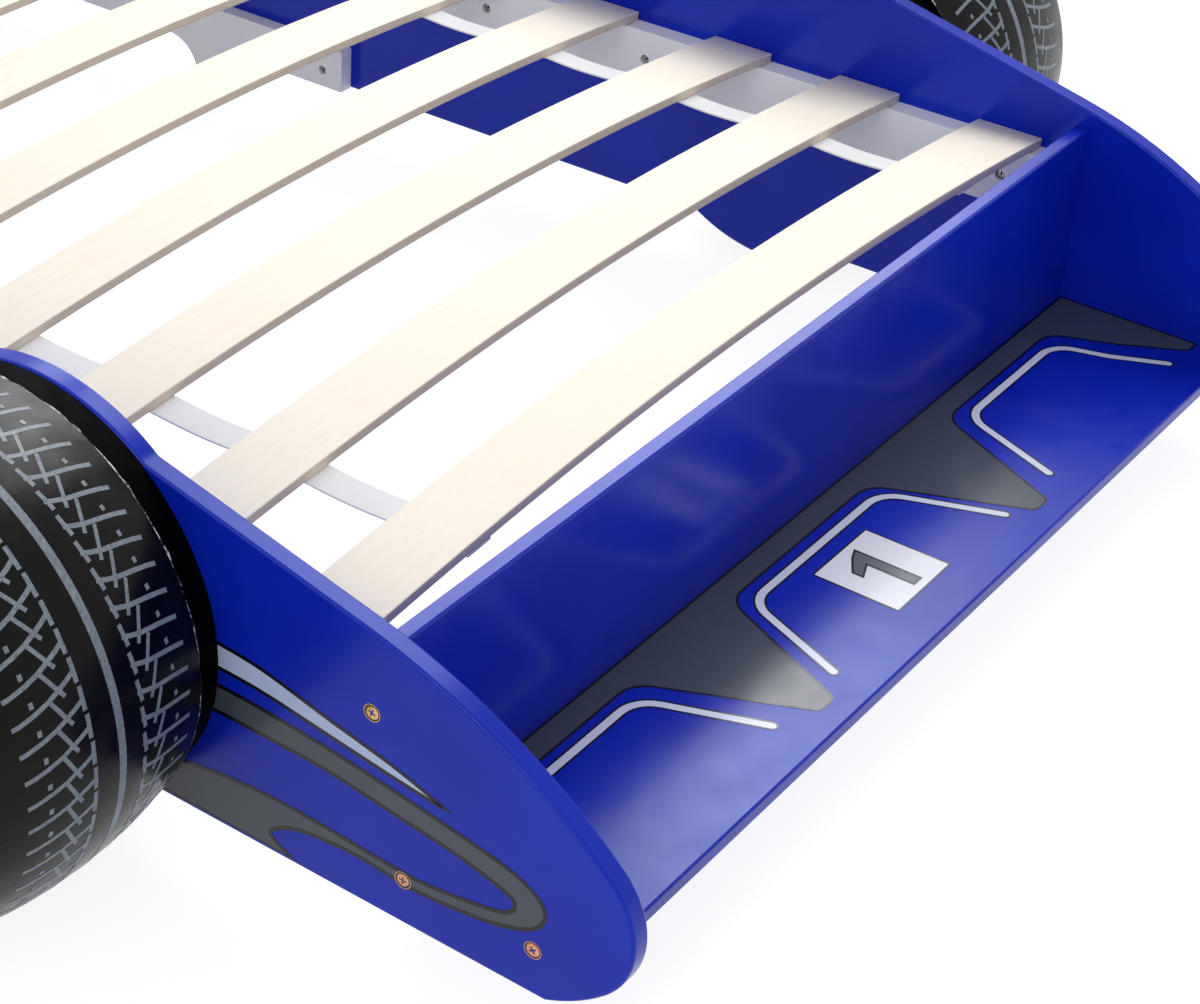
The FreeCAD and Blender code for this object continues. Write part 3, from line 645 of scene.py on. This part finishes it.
def rear_outline():
    """The rear half of a side board, with its fin."""
    wheel = WHEELS["rear"]
    sweep = SIDE_HEIGHT - FIN_SWEEP_DROP
    return trace([
        (SPLIT, UNDERSIDE),
        *lobe_low(wheel),
        (BACK_END - TAIL_RADIUS, UNDERSIDE, TAIL_RADIUS),
        (BACK_END, UNDERSIDE + TAIL_RADIUS),
        (BACK_END, FIN_HEIGHT - FIN_RADIUS, FIN_RADIUS),
        (BACK_END - FIN_RADIUS, FIN_HEIGHT),
        (BACK_END - FIN_LENGTH, FIN_HEIGHT, -FIN_SWEEP_RADIUS),
        (wheel + lobe_half(sweep), sweep, LOBE_RADIUS),
        (wheel - lobe_half(SIDE_HEIGHT), SIDE_HEIGHT),
        (SPLIT, SIDE_HEIGHT),
    ])


def side_boards():
    """The four halves of the side boards, with rounded edges."""
    outlines = {"front": front_outline(), "rear": rear_outline()}
    for side, way in SIDES.items():
        for end, outline in outlines.items():
            piece = Piece()
            faces = [[(way * x, FRONT + p.x, p.y) for p in outline] for x in (INNER, OUTER)]
            piece.add(loft(faces))
            node = f"side_panel_{side}_{end}"
            board = piece.make(f"side_board_{side}_{end}", [BLUE], [node])
            ease(board, EDGE_EASE, 4)


# ---------------------------------------------------------------- tyres

def tyre_surface(out):
    """The radius of a tyre's tread at that distance from the side board."""
    return TYRE_RADIUS - TYRE_ARC + math.sqrt(TYRE_ARC ** 2 - (out - TYRE_WIDTH / 2) ** 2)


def tyre_profile():
    """A tyre's section as distances out from the side board and up from its axis."""
    shoulder_out = TYRE_WIDTH - SHOULDER_RADIUS
    sine = (shoulder_out - TYRE_WIDTH / 2) / (TYRE_ARC - SHOULDER_RADIUS)
    cosine = math.sqrt(1 - sine ** 2)
    shoulder_up = TYRE_RADIUS - TYRE_ARC + (TYRE_ARC - SHOULDER_RADIUS) * cosine
    tread_out = TYRE_WIDTH / 2 + TYRE_ARC * sine
    tread_up = TYRE_RADIUS - TYRE_ARC + TYRE_ARC * cosine
    seat = TYRE_WIDTH - RIM_SEAT
    inner = TYRE_WIDTH - TYRE_WALL
    return trace([
        (0, MOUNT_INNER),
        (MOUNT_THICKNESS, MOUNT_INNER),
        (MOUNT_THICKNESS, MOUNT_OUTER),
        (TYRE_WALL, MOUNT_OUTER),
        (TYRE_WALL, TYRE_BACK_RADIUS - TYRE_BACK_EASE),
        (BAND_WIDTH, tyre_surface(BAND_WIDTH) - BAND_STEP - TYRE_WALL),
        (TYRE_WIDTH / 2, TYRE_RADIUS - TYRE_WALL),
        (tread_out, tread_up - TYRE_BACK_EASE),
        (inner, shoulder_up),
        (inner, RIM_RADIUS + TYRE_WALL),
        (seat - TYRE_WALL, RIM_RADIUS + TYRE_WALL),
        (seat - TYRE_WALL, RIM_RADIUS - LIP_WIDTH),
        (seat, RIM_RADIUS - LIP_WIDTH),
        (seat, RIM_RADIUS),
        (inner, RIM_RADIUS),
        (TYRE_WIDTH, RIM_RADIUS + TYRE_WALL),
        (TYRE_WIDTH, shoulder_up, SHOULDER_RADIUS),
        (tread_out, tread_up, TYRE_ARC),
        (BAND_WIDTH + BAND_LIP, tyre_surface(BAND_WIDTH + BAND_LIP), BAND_LIP),
        (BAND_WIDTH, tyre_surface(BAND_WIDTH) - BAND_LIP),
        (BAND_WIDTH, tyre_surface(BAND_WIDTH) - BAND_STEP),
        (0, LOBE_RADIUS - EDGE_EASE / 2),
    ])


def on_wheel(way, end, out, up, angle):
    """A point so far out and up from a wheel's axis, at an angle counted from the rear."""
    turn = math.radians(angle)
    y = FRONT + WHEELS[end] + up * math.cos(turn)
    return (way * (OUTER + out), y, WHEEL_HEIGHT + up * math.sin(turn))


def ribbon(way, end, path, width):
    """A printed line on a tyre: path is (distance out, angle) pairs."""
    scale = math.radians(1) * TYRE_RADIUS
    flat = [Vector((out, angle * scale)) for out, angle in path]
    rings = []
    for left, right in zip(*edges_of(flat, width, False)):
        ring = []
        for point, lift in ((left, -PRINT_SINK), (left, PRINT_LIFT),
                            (right, PRINT_LIFT), (right, -PRINT_SINK)):
            up = tyre_surface(point.x) + lift
            ring.append(on_wheel(way, end, point.x, up, point.y / scale))
        rings.append(ring)
    return loft(rings)


# A dash, a rib, a bar and a tick, once for each side of the middle stripe: the points of each as
# millimetres from the stripe and degrees round the tyre, and its width.
TREAD_MARKS = {
    -1: (
        ([(19.8, 0), (20.6, 2.5), (21.3, 5)], 3.2),
        ([(18.5, 2.6), (26, 3.5), (34, 4.3), (50, 5.2), (60, 5.9), (68, 6.6)], 3.1),
        ([(40, -1), (36.4, 1.4), (33.2, 3.7), (30, 6)], 2.8),
        ([(52.9, 2.7), (53.2, 4)], 3),
    ),
    1: (
        ([(22.6, -0.2), (22.9, 2.6), (23.1, 5.2)], 3.2),
        ([(21.9, 2.5), (29, 3.6), (36.7, 4.6), (45.2, 5.7), (55.8, 6.6), (66.9, 7.2), (72.7, 7.3)],
         3.1),
        ([(44.3, -0.2), (40.5, 2.2), (36.7, 4.6), (33.5, 6.4)], 2.8),
        ([(56.4, 3.8), (56.7, 5.2)], 3),
    ),
}


def tread_print(side, end):
    """The printed tread: a stripe round the middle, and the marks on each side of it."""
    way = SIDES[side]
    piece = Piece()
    pitch = 360 / PRINT_PITCHES
    low, high = PRINT_CENTRE - PRINT_STRIPE / 2, PRINT_CENTRE + PRINT_STRIPE / 2
    rings = []
    for n in range(3 * PRINT_PITCHES):
        ring = []
        for out, lift in ((low, -PRINT_SINK), (low, PRINT_LIFT),
                          (high, PRINT_LIFT), (high, -PRINT_SINK)):
            ring.append(on_wheel(way, end, out, tyre_surface(out) + lift, n * pitch / 3))
        rings.append(ring)
    piece.add(loft(rings, sweep_closed=True))
    for n in range(PRINT_PITCHES):
        start = PRINT_PHASE + n * pitch
        for toward, marks in TREAD_MARKS.items():
            for path, width in marks:
                spots = [(PRINT_CENTRE + toward * out, start + angle) for out, angle in path]
                piece.add(ribbon(way, end, spots, width))
    piece.make(f"tread_print_{side}_{end}", [TREAD], sharp=30)


def trimmed_edge(angle):
    """How far the hand-trimmed edge of the tyre's band wanders at that angle."""
    waves = ((0.45, 19, 0), (0.5, 43, 1.3), (0.45, 61, 4.1))
    return sum(size * math.sin(math.radians(count * angle) + shift)
               for size, count, shift in waves)


def tyre_look(start, end):
    """The look between two points of the profile: 0 polished, 1 band in painted shade, 2 trimmed
    edge with painted glints.
    """
    if min(start.y, end.y) < MOUNT_OUTER or max(start.x, end.x) > BAND_WIDTH + BAND_LIP + 0.1:
        return 0
    return 2 if max(start.x, end.x) > BAND_WIDTH + 0.1 else 1


def tyres():
    """The four tyre shells with their print."""
    profile = tyre_profile()
    looks = [tyre_look(*pair) for pair in zip(profile, profile[1:] + profile[:1])]
    for side, way in SIDES.items():
        for end in WHEELS:
            rings = []
            for n in range(TYRE_STEPS):
                angle = n * 360 / TYRE_STEPS
                ring = []
                for point in profile:
                    out = point.x
                    if BAND_WIDTH - 0.1 < out < BAND_WIDTH + BAND_LIP and point.y > MOUNT_OUTER:
                        out += trimmed_edge(angle)
                    ring.append(on_wheel(way, end, out, point.y, angle))
                rings.append(ring)
            piece = Piece()
            piece.add(loft(rings, sweep_closed=True))
            piece.looks = looks * TYRE_STEPS
            name = f"tyre_{side}_{end}"
            piece.make(f"{name}_shell", [TYRE, BAND_SHADE, CUT_GLINTS], [name], sharp=40)
            tread_print(side, end)


# ---------------------------------------------------------------- slats and tapes

def slat(number):
    """A bowed plywood slat with eased edges."""
    low, high = box_mm(f"slat_{number:02d}")
    middle = (low[1] + high[1]) / 2
    half_width = SLAT_WIDTH / 2
    corners = [
        (-half_width, 0, SLAT_EDGE),
        (half_width, 0, SLAT_EDGE),
        (half_width, SLAT_THICKNESS, SLAT_EDGE),
        (-half_width, SLAT_THICKNESS, SLAT_EDGE),
    ]
    section = rounded(corners)
    centre = Vector((0, SLAT_THICKNESS / 2))
    sweep = math.asin(SLAT_HALF / SLAT_RADIUS)
    ease_turn = SLAT_EDGE / SLAT_RADIUS
    turns = [-sweep, ease_turn - sweep]
    turns += [sweep * (2 * n / SLAT_STEPS - 1) for n in range(1, SLAT_STEPS)]
    turns += [sweep - ease_turn, sweep]
    skew = Matrix.Rotation(SLAT_SKEW.get(number, 0), 2)
    rings = []
    for place, turn in enumerate(turns):
        ring = []
        for point in section:
            if place in (0, len(turns) - 1):
                scale = Vector((1 - SLAT_EDGE / half_width, 1 - 2 * SLAT_EDGE / SLAT_THICKNESS))
                point = centre + (point - centre) * scale
            radius = SLAT_RADIUS + point.y
            x, y = skew @ Vector((radius * math.sin(turn), point.x))
            z = RAIL_TOP + SLAT_BOW - SLAT_RADIUS + radius * math.cos(turn)
            ring.append((x, middle + y, z))
        rings.append(ring)
    piece = Piece()
    piece.add(loft(rings))
    obj = piece.make(f"slat_board_{number:02d}", [BIRCH], [f"slat_{number:02d}"],
                     sharp=50)
    mark_layers(obj.data, middle, skew.inverted())
    return obj


def mark_layers(mesh, middle, unturn):
    """Writes each corner's place through the thickness, and whether its side is sawn."""
    layer = mesh.uv_layers.new(name="layers")
    for face in mesh.polygons:
        across = unturn @ Vector(face.normal[:2])
        flat = abs(face.normal.z) > 0.7 * face.normal.length
        sawn = 0 if flat else 1
        for loop in face.loop_indices:
            x, y, z = (v / MM for v in mesh.vertices[mesh.loops[loop].vertex_index].co)
            radius = math.hypot(x, z - (RAIL_TOP + SLAT_BOW - SLAT_RADIUS))
            layer.data[loop].uv = (sawn, (radius - SLAT_RADIUS) / SLAT_THICKNESS)


def tape(side):
    """A webbing band that lies flat under each slat and sags between them."""
    way = SIDES[side]
    pitch = (box_mm(f"slat_{SLAT_COUNT:02d}")[0][1] - first_slat_low[1]) / (SLAT_COUNT - 1)
    gap = pitch - SLAT_WIDTH
    path = []
    for n in range(SLAT_COUNT):
        start = first_slat_low[1] + n * pitch
        path += [(start, 0), (start + SLAT_WIDTH, 0)]
        if n < SLAT_COUNT - 1:
            for step in range(1, TAPE_STEPS):
                share = step / TAPE_STEPS
                sag = -TAPE_SAG * 4 * share * (1 - share)
                path.append((start + SLAT_WIDTH + gap * share, sag))
    half = TAPE_WIDTH / 2
    corners = ((-half, -TAPE_THICKNESS), (half, -TAPE_THICKNESS), (half, 0), (-half, 0))
    section = rounded([(across, up, TAPE_EDGE) for across, up in corners])
    turn = Matrix.Rotation(-way * TAPE_SLOPE, 2)
    rings = []
    for y, drop in path:
        ring = []
        for point in section:
            x, z = turn @ (point + Vector((0, drop)))
            ring.append((way * TAPE_PLACE + x, y, TAPE_TOP + z))
        rings.append(ring)
    piece = Piece()
    piece.add(loft(rings))
    piece.make(f"webbing_{side}", [WEBBING], [f"slat_tape_{side}"], sharp=60)


# ---------------------------------------------------------------- screws

def cross_screw(length, head_height, countersunk, head=HEAD_RADIUS):
    """Rings of a cross-head screw: distance out of the surface, and radius at each angle."""
    arm, half = CROSS_ARM * head, CROSS_HALF * head
    corner = math.degrees(math.atan2(half, arm))
    angles = [90 * n + step for n in range(4) for step in (-corner, 0, corner, 28, 45, 62)]

    def cross(angle):
        lean = math.radians((angle + 45) % 90 - 45)
        return min(arm / math.cos(lean), half / max(abs(math.sin(lean)), 1e-6))

    recess = [cross(angle) for angle in angles]
    top = head_height
    heights = [(top - CROSS_DEPTH, [r * 0.5 for r in recess]), (top + 0.1, recess)]
    rim_drop = 0.15 if countersunk else 0.8
    for height, radius in ((top + 0.1, 0.8 * head), (top - rim_drop, head)):
        heights.append((height, [radius] * len(angles)))
    if countersunk:
        heights.append((top - head + SHANK_RADIUS, [SHANK_RADIUS] * len(angles)))
    else:
        heights += [(0, [head] * len(angles)), (0, [SHANK_RADIUS] * len(angles))]
    heights += [(SCREW_POINT - length, [SHANK_RADIUS] * len(angles)),
                (-length, [0.2] * len(angles))]
    return [[(height, r * math.cos(math.radians(a)), r * math.sin(math.radians(a)))
             for r, a in zip(radii, angles)] for height, radii in heights]


def screw_at(piece, rings, spot, way, turn, look, dark):
    """Adds a screw whose head faces along way on the X axis; dark is the look of its recess, which
    is painted shade.
    """
    spin = Matrix.Rotation(math.radians(turn), 2)
    placed = []
    for ring in rings:
        spots = []
        for out, across, up in ring:
            across, up = spin @ Vector((across, up))
            spots.append((spot[0] + way * out, spot[1] + across, spot[2] + up))
        placed.append(spots)
    start = len(piece.looks)
    piece.add(loft(placed), look)
    walls = len(rings[0])
    piece.looks[start:start + walls] = [dark] * walls
    piece.looks[-2] = dark


def ring_at(piece, spot, way, inner, outer, look):
    """Adds a thin flat ring round a countersunk head in the given look; in the dark look it is the
    painted shade of the gap.
    """
    rings = []
    for n in range(32):
        angle = math.tau * n / 32
        ring = []
        for out, radius in ((-0.2, inner), (0.05, inner), (0.05, outer), (-0.2, outer)):
            ring.append((spot[0] + way * out, spot[1] + radius * math.cos(angle),
                         spot[2] + radius * math.sin(angle)))
        rings.append(ring)
    piece.add(loft(rings, sweep_closed=True), look)


def board_screws():
    """Countersunk screws through the side boards into the boards between them."""
    piece = Piece()
    rings = cross_screw(BOARD_SCREW_LENGTH, 0, True, BOARD_HEAD_RADIUS)
    board_mid = (cross_low[1] + cross_high[1]) / 2
    shelf_mid = (shelf_low[2] + shelf_high[2]) / 2 + SHELF_SCREW_LIFT
    rear_mid = (rear_board_low[1] + rear_board_high[1]) / 2
    wing_mid = (wing_low[2] + wing_high[2]) / 2
    # dark is the painted shade of the recesses and of the gaps round the heads
    brass, copper, dark = range(3)
    spots = [
        (board_mid, FRONT_SCREW_HEIGHT, brass),
        *((FRONT - reach, shelf_mid, copper) for reach in SHELF_SCREWS),
        *((rear_mid, height, brass) for height in REAR_SCREW_HEIGHTS),
        (wing_low[1] + WING_SCREW_INSET, wing_mid, brass),
        (wing_high[1] - WING_SCREW_INSET, wing_mid, brass),
    ]
    for way in SIDES.values():
        for n, (y, z, look) in enumerate(spots):
            spot = (way * (OUTER + SCREW_PROUD), y, z)
            screw_at(piece, rings, spot, way, 20 + 37 * n, look, dark)
            # a ring of painted shade round the head, then a thin ring of the screw's metal
            gap_edge = BOARD_HEAD_RADIUS + SCREW_GAP
            ring_at(piece, spot, way, BOARD_HEAD_RADIUS, gap_edge, dark)
            ring_at(piece, spot, way, gap_edge, gap_edge + SCREW_GAP / 2, look)
    piece.make("cross_head_board_screws", [BRASS, COPPER, GAP_SHADE], ["board_screws"],
               sharp=35)


def recessed_screws():
    """Screws set deep in the holes of the rails and of the joining plates."""
    rail_face = INNER - (rail_high[0] - rail_low[0])
    rail_mid = (rail_low[2] + rail_high[2]) / 2
    rail_length = rail_high[1] - rail_low[1]
    rails = Piece()
    rings = cross_screw(RAIL_SCREW_LENGTH, RECESS_HEAD, False)
    for way in SIDES.values():
        for end in range(len(WHEELS)):
            for n in range(RAIL_SCREW_COUNT):
                y = rail_low[1] + end * rail_length + RAIL_SCREW_FIRST + n * RAIL_SCREW_PITCH
                spot = (way * (rail_face + RECESS_DEPTH), y, rail_mid)
                # the cross recesses are painted shade
                screw_at(rails, rings, spot, -way, 31 * n, 0, 1)
    rails.make("cross_head_rail_screws", [STEEL, GAP_SHADE], ["rail_screws"], sharp=35)
    plates = Piece()
    rings = cross_screw(PLATE_SCREW_LENGTH, RECESS_HEAD, False)
    plate_mid = UNDERSIDE + (plate_high[2] - UNDERSIDE) * PLATE_SCREW_SHARE
    places = [plate_low[1] + inset for inset in PLATE_SCREW_INSETS]
    places += [plate_high[1] - inset for inset in PLATE_SCREW_INSETS[::-1]]
    for way in SIDES.values():
        for y in places:
            spot = (way * (plate_low[0] + RECESS_DEPTH), y, plate_mid)
            # the cross recesses are painted shade
            screw_at(plates, rings, spot, -way, y, 0, 1)
    plates.make("cross_head_plate_screws", [STEEL, GAP_SHADE], ["joining_plate_screws"],
                sharp=35)


def wheel_screws():
    """Screws through the side boards into the tyres' rings, painted over in blue."""
    piece = Piece()
    rings = cross_screw(WHEEL_SCREW_LENGTH, 0, True)
    for way in SIDES.values():
        for wheel in WHEELS.values():
            for n in range(WHEEL_SCREW_COUNT):
                angle = math.radians(WHEEL_SCREW_PHASE + 360 / WHEEL_SCREW_COUNT * n)
                spot = (way * INNER, FRONT + wheel + WHEEL_SCREW_CIRCLE * math.cos(angle),
                        WHEEL_HEIGHT + WHEEL_SCREW_CIRCLE * math.sin(angle))
                screw_at(piece, rings, spot, -way, 40 * n, 0, 0)
    piece.make("cross_head_wheel_screws", [BLUE], ["wheel_screws"], sharp=35)


# ---------------------------------------------------------------- printed decals

FILM = 0.12
LINE_FILM = 0.2
BRACKET_WIDTH = 7.6


def on_shelf(x, y, lift):
    """Places points of the shelf's top."""
    return (x, FRONT + y, SHELF_TOP + lift)


def on_square(x, y, lift):
    """Places points of the numeral, which lies on the numbered square's film."""
    return on_shelf(x, y, lift + LINE_FILM)


def on_side(way):
    """Places points of a side board's outer face."""
    return lambda y, z, lift: (way * (OUTER + lift), FRONT + y, z)


def print_shape(piece, outline, place, look, line=None):
    """Adds a printed area, and a line of ink round it where line gives the line's width."""
    piece.add(loft([[place(p.x, p.y, lift) for p in outline] for lift in (0, FILM)]), look)
    if line:
        rings = []
        for left, right in zip(*edges_of(outline, line, True)):
            rings.append([place(p.x, p.y, lift) for p, lift in (
                (left, 0), (left, LINE_FILM), (right, LINE_FILM), (right, 0))])
        piece.add(loft(rings, sweep_closed=True), 1)


def mirrored(points):
    """The same outline on the other half of the shelf."""
    return [Vector((-p.x, p.y)) for p in points]


def shelf_print():
    """The shelf's print: a slate band with two teeth, pale brackets and a numbered square."""
    piece = Piece()
    half = [
        (95, -20.5, 24), (146, -133, 7), (164, -133, 7), (219, -20.5, 24), (388, -20.5, 22),
        (409, -72, 40), (437, -121, 6), (INNER - 1.5, -121, 3), (INNER - 1, -1, 0),
    ]
    corners = half + [(-x, y, r) for x, y, r in half[::-1]]
    print_shape(piece, rounded(corners), on_shelf, 0, 2)
    middle = rounded([(-121, -118, 0), (-87, -33, 26), (92, -33, 26), (126, -118, 0)], False)
    side = [(198, -117, 0), (232, -32, 26), (374, -32, 24), (387, -75, 60), (407, -117, 0)]
    for path in (middle, rounded(side, False), mirrored(rounded(side, False))):
        print_shape(piece, stroke(path, BRACKET_WIDTH), on_shelf, 2, 1.5)
    square = rounded([(-31, -49, 1), (-31, -117.5, 1), (43, -117.5, 1), (43, -49, 1)])
    print_shape(piece, square, on_shelf, 3, 1.4)
    one = [(14.5, -56.5), (14.5, -110), (4.5, -110), (4.5, -72), (-11, -78), (-11, -69.5),
           (5, -60)]
    print_shape(piece, [Vector(p) for p in one], on_square, 4, 1.6)
    piece.make("shelf_print", [SLATE, INK, PALE, SIGN_WHITE, NUMERAL], sharp=30)


def side_print(side):
    """A side board's print: a pale sliver and a slate loop that runs back under the tyre."""
    place = on_side(SIDES[side])
    piece = Piece()
    upper = curve([(140, 183), (93, 179), (40, 167), (-11, 156), (-52, 143.5)])
    lower = curve([(-52, 143.5), (-11, 148), (40, 155), (93, 162), (140, 164)])
    print_shape(piece, upper + lower[1:], place, 2, 2.8)
    outer = curve([(145, 150), (93, 148.5), (40, 144), (-11, 138), (-61, 130.5), (-98, 123.5),
                   (-118, 114), (-124.5, 103), (-119, 91), (-104, 82), (-76, 74.5), (-26, 69.5),
                   (13, 72.5), (53, 69.5), (74, 63), (85, 54), (80, 48), (70, 43)])
    foot = [Vector((66, UNDERSIDE + 3.9)), Vector((198, UNDERSIDE + 3.9)), Vector((165, 72))]
    inner = curve([(155, 74), (121, 79.5), (88, 82), (53, 82), (3, 79.5), (-26, 78.5),
                   (-52, 80.5), (-83, 86), (-97, 90.5), (-103, 98), (-97, 105), (-62, 114),
                   (-12, 120.5), (40, 127), (93, 128.5), (145, 129)])
    print_shape(piece, outer + foot + inner, place, 0, 3)
    piece.make(f"side_print_{side}", [SLATE, INK, SLIVER], sharp=30)


# ---------------------------------------------------------------- floor, light and camera

FLOOR_RADIUS = 9            # metres
FLOOR_POINTS = 64
FLOOR_BOUNCE = 0.93         # share of the light that it gives back to the bed
FLOOR_SHADE = 0.3           # how much of the bed's shadow the camera sees on it
FLOOR_GLOW = 0.88
AMBIENT = 0.46

# The photograph's camera, in degrees, millimetres of lens, and metres.
CAMERA_TURN, CAMERA_RISE, CAMERA_ROLL = -51.905, 32.756, 0.955
CAMERA_LENS = 82.42
CAMERA_SENSOR = 36
CAMERA_SHIFT = (0.2033, -0.0330)
CAMERA_PLACE = (-1.4861, -1.7362, 1.1904)
CAMERA_REACH = 60


def floor():
    """A wide pale floor that looks white and keeps the bed's shadow."""
    mesh = bpy.data.meshes.new("floor")
    angles = [math.tau * n / FLOOR_POINTS for n in range(FLOOR_POINTS)]
    spots = [(FLOOR_RADIUS * math.cos(a), FLOOR_RADIUS * math.sin(a), 0) for a in angles]
    mesh.from_pydata(spots, [], [list(range(FLOOR_POINTS))])
    obj = bpy.data.objects.new("floor", mesh)
    bpy.context.scene.collection.objects.link(obj)
    material = bpy.data.materials.new("floor")
    material.use_nodes = True
    tree = material.node_tree
    tree.nodes.clear()
    seen = seen_rays(tree)
    plain = tree.nodes.new("ShaderNodeBsdfDiffuse")
    plain.inputs["Color"].default_value = (FLOOR_BOUNCE,) * 3 + (1,)
    shaded = tree.nodes.new("ShaderNodeBsdfDiffuse")
    shaded.inputs["Color"].default_value = (FLOOR_SHADE,) * 3 + (1,)
    glow = tree.nodes.new("ShaderNodeEmission")
    glow.inputs["Strength"].default_value = FLOOR_GLOW
    both = tree.nodes.new("ShaderNodeAddShader")
    choice = tree.nodes.new("ShaderNodeMixShader")
    output = tree.nodes.new("ShaderNodeOutputMaterial")
    tree.links.new(shaded.outputs[0], both.inputs[0])
    tree.links.new(glow.outputs[0], both.inputs[1])
    tree.links.new(seen, choice.inputs[0])
    tree.links.new(plain.outputs[0], choice.inputs[1])
    tree.links.new(both.outputs[0], choice.inputs[2])
    tree.links.new(choice.outputs[0], output.inputs["Surface"])
    mesh.materials.append(material)


def seen_rays(tree):
    """1 for rays that look at the background from the camera, off gloss or through glass."""
    light = tree.nodes.new("ShaderNodeLightPath")
    total = light.outputs["Is Camera Ray"]
    for name in ("Is Glossy Ray", "Is Transmission Ray"):
        most = tree.nodes.new("ShaderNodeMath")
        most.operation = "MAXIMUM"
        tree.links.new(total, most.inputs[0])
        tree.links.new(light.outputs[name], most.inputs[1])
        total = most.outputs[0]
    return total


def world():
    """White to look at, and a plain pale light from all round."""
    scene_world = bpy.data.worlds.new("studio")
    scene_world.use_nodes = True
    tree = scene_world.node_tree
    background = tree.nodes["Background"]
    background.inputs["Color"].default_value = (1, 1, 1, 1)
    strength = tree.nodes.new("ShaderNodeMapRange")
    strength.inputs["To Min"].default_value = AMBIENT
    strength.inputs["To Max"].default_value = 1
    tree.links.new(seen_rays(tree), strength.inputs["Value"])
    tree.links.new(strength.outputs["Result"], background.inputs["Strength"])
    bpy.context.scene.world = scene_world


def lamp(name, place, target, side, power):
    """A square softbox in metres that points at target."""
    light = bpy.data.lights.new(name, "AREA")
    light.size = side
    light.energy = power
    obj = bpy.data.objects.new(name, light)
    bpy.context.scene.collection.objects.link(obj)
    obj.location = place
    obj.rotation_euler = (Vector(target) - Vector(place)).to_track_quat("-Z", "Y").to_euler()


def lights():
    """Three softboxes: one at the left for the near faces, two behind that shine on the tops."""
    lamp("fill_softbox", (-2.8, -1.2, 1.8), (0, -0.2, 0.1), 1.8, 22)
    lamp("back_softbox", (3.0, 1.35, 2.6), (0, -0.9, 0.1), 2.2, 74)
    lamp("side_softbox", (2.3, -0.4, 3.1), (-0.3, -0.9, 0.2), 1.7, 52)


def camera():
    """The photograph's view."""
    turn, rise, roll = (math.radians(v) for v in (CAMERA_TURN, CAMERA_RISE, CAMERA_ROLL))
    right = Vector((math.cos(turn), math.sin(turn), 0))
    back = Vector((math.sin(turn) * math.cos(rise), -math.cos(turn) * math.cos(rise),
                   math.sin(rise)))
    up = back.cross(right)
    across = math.cos(roll) * right + math.sin(roll) * up
    upward = -math.sin(roll) * right + math.cos(roll) * up
    data = bpy.data.cameras.new("view")
    data.lens = CAMERA_LENS
    data.sensor_width = CAMERA_SENSOR
    data.sensor_fit = "HORIZONTAL"
    data.shift_x, data.shift_y = CAMERA_SHIFT
    data.clip_end = CAMERA_REACH
    obj = bpy.data.objects.new("view", data)
    bpy.context.scene.collection.objects.link(obj)
    place = Matrix((across, upward, back)).transposed().to_4x4()
    place.translation = CAMERA_PLACE
    obj.matrix_world = place
    bpy.context.scene.camera = obj


# ---------------------------------------------------------------- the whole scene

def dress_frame():
    """Gives the CAD nodes that stay in view their materials."""
    finishes = {
        BLUE: ["front_cross_board", "front_wing_shelf", "rear_cross_board", "rear_wing_board"],
        WHITE: [f"slat_rail_{side}_{end}" for side in SIDES for end in WHEELS],
        RIM: [f"rim_{side}_{end}" for side in SIDES for end in WHEELS],
    }
    finishes[WHITE] += [f"joining_plate_{side}" for side in SIDES]
    for material, nodes in finishes.items():
        for node in nodes:
            for place in frame["nodes"][node].material_slots:
                place.material = material


dress_frame()
side_boards()
tyres()
for number in range(1, SLAT_COUNT + 1):
    slat(number)
for side in SIDES:
    tape(side)
    side_print(side)
board_screws()
recessed_screws()
wheel_screws()
shelf_print()
floor()
world()
lights()
camera()
bpy.context.scene.view_settings.view_transform = "Standard"
